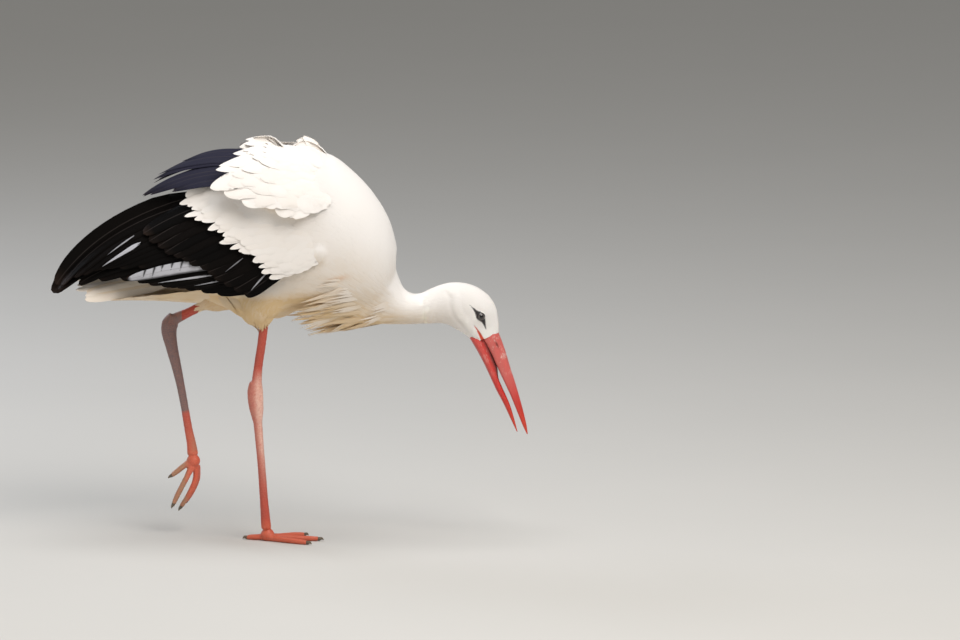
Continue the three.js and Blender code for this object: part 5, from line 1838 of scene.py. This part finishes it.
def eye_material():
    """Eye: a wet clear cornea over a dark grey-brown iris and a black pupil."""
    tints = paint()
    material, tree = new_material("eye")
    ring = value_of(tree, "ring")
    place = add(tree, "ShaderNodeTexCoord").outputs["Object"]
    fleck = add(tree, "ShaderNodeTexNoise", {"Vector": place, "Scale": 900.0, "Detail": 3.0}).outputs[0]
    iris = blend(tree, fleck, tints.iris[:], tints.black[:])
    edge = add(tree, "ShaderNodeMapRange", {"Value": ring, 1: 0.4, 2: 0.47}).outputs[0]
    pupil = blend(tree, edge, tints.black[:], iris)
    rim = add(tree, "ShaderNodeMapRange", {"Value": ring, 1: 0.72, 2: 0.8}).outputs[0]
    colour = blend(tree, rim, pupil, tints.eye_skin[:])
    shade(tree, colour, maths(tree, "MULTIPLY_ADD", fleck, 0.03, 0.04), None, **{
        "IOR": 1.38, "Coat Weight": 0.8, "Coat Roughness": 0.02})
    return material


class STORK_OT_eyes(bpy.types.Operator):
    """Both eyes, set deep between their lids, with a bulging cornea"""

    bl_idname = "stork.eyes"
    bl_label = "Eyes"

    def execute(self, context):
        material = eye_material()
        radius = stork().eye_radius / MM
        for side, hand in SIDES:
            centre = np.array([EYE_CENTRE[0], side * EYE_CENTRE[1], EYE_CENTRE[2]])
            lean = unit(np.array([0.16, side, 0.05]))
            points, faces = tube(ball(centre, radius, 40, 28))
            ray = points - centre
            from_axis = np.arccos(np.clip((unit(ray) * lean).sum(1), -1, 1))
            bulge = 0.35 * np.exp(-(from_axis / 0.55) ** 2)
            points = points + unit(ray) * bulge[:, None]
            obj = mesh_object(f"eyeball_{hand}", points, faces)
            keep_values(obj.data, ring=from_axis)
            turn_out(obj.data)
            finish_piece(obj, material, [f"eye_{hand}"])
        return {"FINISHED"}


def claw_material():
    """Claw horn: blunt dark keratin, worn paler towards the point."""
    tints = paint()
    material, tree = new_material("claw horn")
    place = add(tree, "ShaderNodeTexCoord").outputs["Object"]
    grain = add(tree, "ShaderNodeTexNoise", {"Vector": place, "Scale": 420.0, "Detail": 3.0}).outputs[0]
    colour = blend(tree, maths(tree, "MULTIPLY", grain, value_of(tree, "point")), tints.claw[:], tints.mud[:])
    rough = maths(tree, "MULTIPLY_ADD", grain, 0.2, 0.4)
    bump = add(tree, "ShaderNodeBump", {"Height": grain, "Strength": 0.3, "Distance": 0.0003})
    shade(tree, colour, rough, bump.outputs[0], **{"IOR": 1.54, "Specular IOR Level": 0.4})
    return material


class STORK_OT_claws(bpy.types.Operator):
    """The eight short blunt claws"""

    bl_idname = "stork.claws"
    bl_label = "Claws"

    def execute(self, context):
        material = claw_material()
        for hand, leg in LEGS.items():
            for toe, path in leg["toes"].items():
                before, tip = np.array(path[-2], float), np.array(path[-1], float)
                ahead = unit(tip - before)
                drop = -1.6 if leg["standing"] else 0.0
                line = [tip - ahead * 2.5, tip + ahead * 2, tip + ahead * 6 + [0, 0, 0.7],
                        tip + ahead * 9 + [0, 0, drop]]
                rings = limb(line, [2.9, 3.0, 2.1, 0.6], [2.6, 2.6, 1.7, 0.5], 16, 14)
                points, faces = tube(rings)
                if leg["standing"]:
                    points[:, 2] = np.maximum(points[:, 2], 0)
                obj = mesh_object(f"claw_horn_{toe}_{hand}", points, faces)
                keep_values(obj.data, point=np.append(np.repeat(np.linspace(0.2, 1, 16), 14), [0.2, 1]))
                turn_out(obj.data)
                finish_piece(obj, material, [f"claw_{toe}_{hand}"])
        return {"FINISHED"}


# ---------------------------------------------------------------- stage


class STORK_OT_stage(bpy.types.Operator):
    """A pale floor, soft studio light and the camera"""

    bl_idname = "stork.stage"
    bl_label = "Stage"

    def execute(self, context):
        tints = paint()
        reach, drop = 30.0, 0.0005
        corners = [(x * reach, y * reach, -drop) for x, y in ((-1, -1), (1, -1), (1, 1), (-1, 1))]
        floor = mesh_object("floor", corners, [[0, 1, 2, 3]], 1.0)
        material, tree = new_material("matt pale floor paint")
        place = add(tree, "ShaderNodeTexCoord").outputs["Object"]
        cloud = add(tree, "ShaderNodeTexNoise", {"Vector": place, "Scale": 3.0}).outputs[0]
        colour = blend(tree, maths(tree, "MULTIPLY", cloud, 0.15), tints.floor[:], tints.grey[:])
        shade(tree, colour, maths(tree, "MULTIPLY_ADD", cloud, 0.05, 0.85))
        floor.data.materials.append(material)
        context.scene.view_settings.view_transform = "Standard"
        world = bpy.data.worlds.new("studio")
        world.use_nodes = True
        context.scene.world = world
        sky = world.node_tree
        sky.nodes.clear()
        glow = add(sky, "ShaderNodeBackground", {0: linear("#D9D8D6"), 1: 0.4})
        add(sky, "ShaderNodeOutputWorld", {0: glow.outputs[0]})
        for name, place, aim, wide, power, tint in (
            ("key", (1.6, -2.6, 3.4), (0.0, 0.0, 0.45), 2.6, 119.0, "#FFF9F3"),
            ("top", (0.0, -0.4, 3.6), (0.0, 0.0, 0.4), 2.4, 55.0, "#FFFFFF"),
            ("back", (-2.4, 2.2, 2.2), (0.0, 0.0, 0.45), 1.8, 45.0, "#EAF1FF"),
            ("low", (-1.8, -2.4, 0.4), (-0.2, 0.0, 0.4), 1.2, 9.0, "#FFF4E4"),
        ):
            light = bpy.data.lights.new(name, "AREA")
            light.shape = "DISK"
            light.size = wide
            light.energy = power
            light.color = linear(tint)[:3]
            obj = bpy.data.objects.new(name, light)
            obj.location = place
            obj.rotation_euler = (Vector(aim) - Vector(place)).to_track_quat("-Z", "Y").to_euler()
            context.scene.collection.objects.link(obj)
        camera = bpy.data.objects.new("camera", bpy.data.cameras.new("camera"))
        camera.data.lens = 500
        camera.data.sensor_width = 36
        camera.data.clip_end = 100
        tall = math.radians(9)
        distance = 21.6
        aim = Vector((0.345, 0, 0.362))
        camera.location = aim + Vector((0, -math.cos(tall), math.sin(tall))) * distance
        camera.rotation_euler = (aim - camera.location).to_track_quat("-Z", "Y").to_euler()
        context.scene.collection.objects.link(camera)
        context.scene.camera = camera
        return {"FINISHED"}


# ---------------------------------------------------------------- what a user would change


def length(name, description, default):
    return bpy.props.FloatProperty(name=name, description=description, default=default, min=0.0001,
                                   unit="LENGTH", subtype="DISTANCE", precision=4)


def tint(name, description, default):
    return bpy.props.FloatVectorProperty(name=name, description=description, default=linear(default),
                                         size=4, min=0, max=1, subtype="COLOR")


class StorkSizes(bpy.types.PropertyGroup):
    """Sizes of the parts that the coat and the skin are made of"""

    eye_radius: length("Eye radius", "Radius of the eyeball", 0.0076)
    head_feather: length("Head feather", "Length of a feather at the back of the head", 0.0045)
    leg_scale: length("Leg scale", "Width of a plate on the bare legs", 0.0032)


class StorkColours(bpy.types.PropertyGroup):
    """Colours of plumage, skin, bill and stage"""

    white: tint("White", "Clean white feathers", "#F8F5F2")
    cream: tint("Cream", "Shaded or soiled white feathers", "#DDBD8A")
    rust: tint("Rust", "Stained feathers at the bend of the wing", "#E0A050")
    grey: tint("Grey", "Faint streaks in white feathers", "#D9D6D2")
    black: tint("Black", "Black feathers", "#040404")
    brown: tint("Brown", "Worn black feathers", "#2A201B")
    violet: tint("Violet", "Sheen of the long shoulder plumes", "#303040")
    silver: tint("Silver", "Bloom on the outer webs of the wing", "#B4B5BC")
    shaft: tint("Shaft", "Shafts of black feathers", "#4A4442")
    eye_skin: tint("Eye skin", "Bare skin round the eyes", "#2B2829")
    iris: tint("Iris", "Iris of the eye", "#6A625E")
    bill_red: tint("Bill red", "Bill", "#E03B34")
    bill_deep: tint("Bill deep red", "Deeper streaks of the bill", "#B4241C")
    bill_orange: tint("Bill orange", "Tip of the bill", "#CF4526")
    bill_scuff: tint("Bill scuffs", "Chalky scuffs on the bill", "#DDAFA6")
    bill_dark: tint("Bill shadow", "Inside of the bill and the nostrils", "#4A1512")
    leg_red: tint("Leg red", "Bare legs", "#C63A2C")
    leg_deep: tint("Leg deep red", "Deeper red of the legs", "#97241D")
    leg_orange: tint("Leg orange", "Feet", "#D9522D")
    leg_pale: tint("Leg bleach", "Bleached front of the standing leg", "#EBC3B4")
    leg_grey: tint("Leg dusk", "Dusky ankle of the raised leg", "#6F6064")
    leg_groove: tint("Leg grooves", "Grooves between the plates", "#E09A78")
    mud: tint("Mud", "Dried mud on the toes", "#8C8268")
    claw: tint("Claw", "Claws", "#4A3B35")
    floor: tint("Floor", "Studio floor", "#C9C8C4")


MAKERS = ("stage", "skin", "coat", "wings", "coverts", "shoulders", "tail", "bib", "bill", "eyes", "claws")


class STORK_PT_panel(bpy.types.Panel):
    """Lists what makes the stork, in order"""

    bl_idname = "STORK_PT_panel"
    bl_label = "White stork"
    bl_space_type = "VIEW_3D"
    bl_region_type = "UI"
    bl_category = "Stork"

    def draw(self, context):
        for group in (context.scene.stork_sizes, context.scene.stork_colours):
            box = self.layout.box()
            for name in group.bl_rna.properties.keys():
                if name not in ("rna_type", "name"):
                    box.prop(group, name)
        for name in MAKERS:
            self.layout.operator(f"stork.{name}")


CLASSES = (
    StorkSizes, StorkColours, STORK_OT_stage, STORK_OT_skin, STORK_OT_coat, STORK_OT_wings,
    STORK_OT_coverts, STORK_OT_shoulders, STORK_OT_tail, STORK_OT_bib, STORK_OT_bill, STORK_OT_eyes,
    STORK_OT_claws, STORK_PT_panel,
)


def register():
    for item in CLASSES:
        bpy.utils.register_class(item)
    bpy.types.Scene.stork_sizes = bpy.props.PointerProperty(type=StorkSizes)
    bpy.types.Scene.stork_colours = bpy.props.PointerProperty(type=StorkColours)


def unregister():
    del bpy.types.Scene.stork_colours
    del bpy.types.Scene.stork_sizes
    for item in reversed(CLASSES):
        bpy.utils.unregister_class(item)


def main():
    register()
    for name in MAKERS:
        getattr(bpy.ops.stork, name)()


if __name__ == "__main__":
    main()
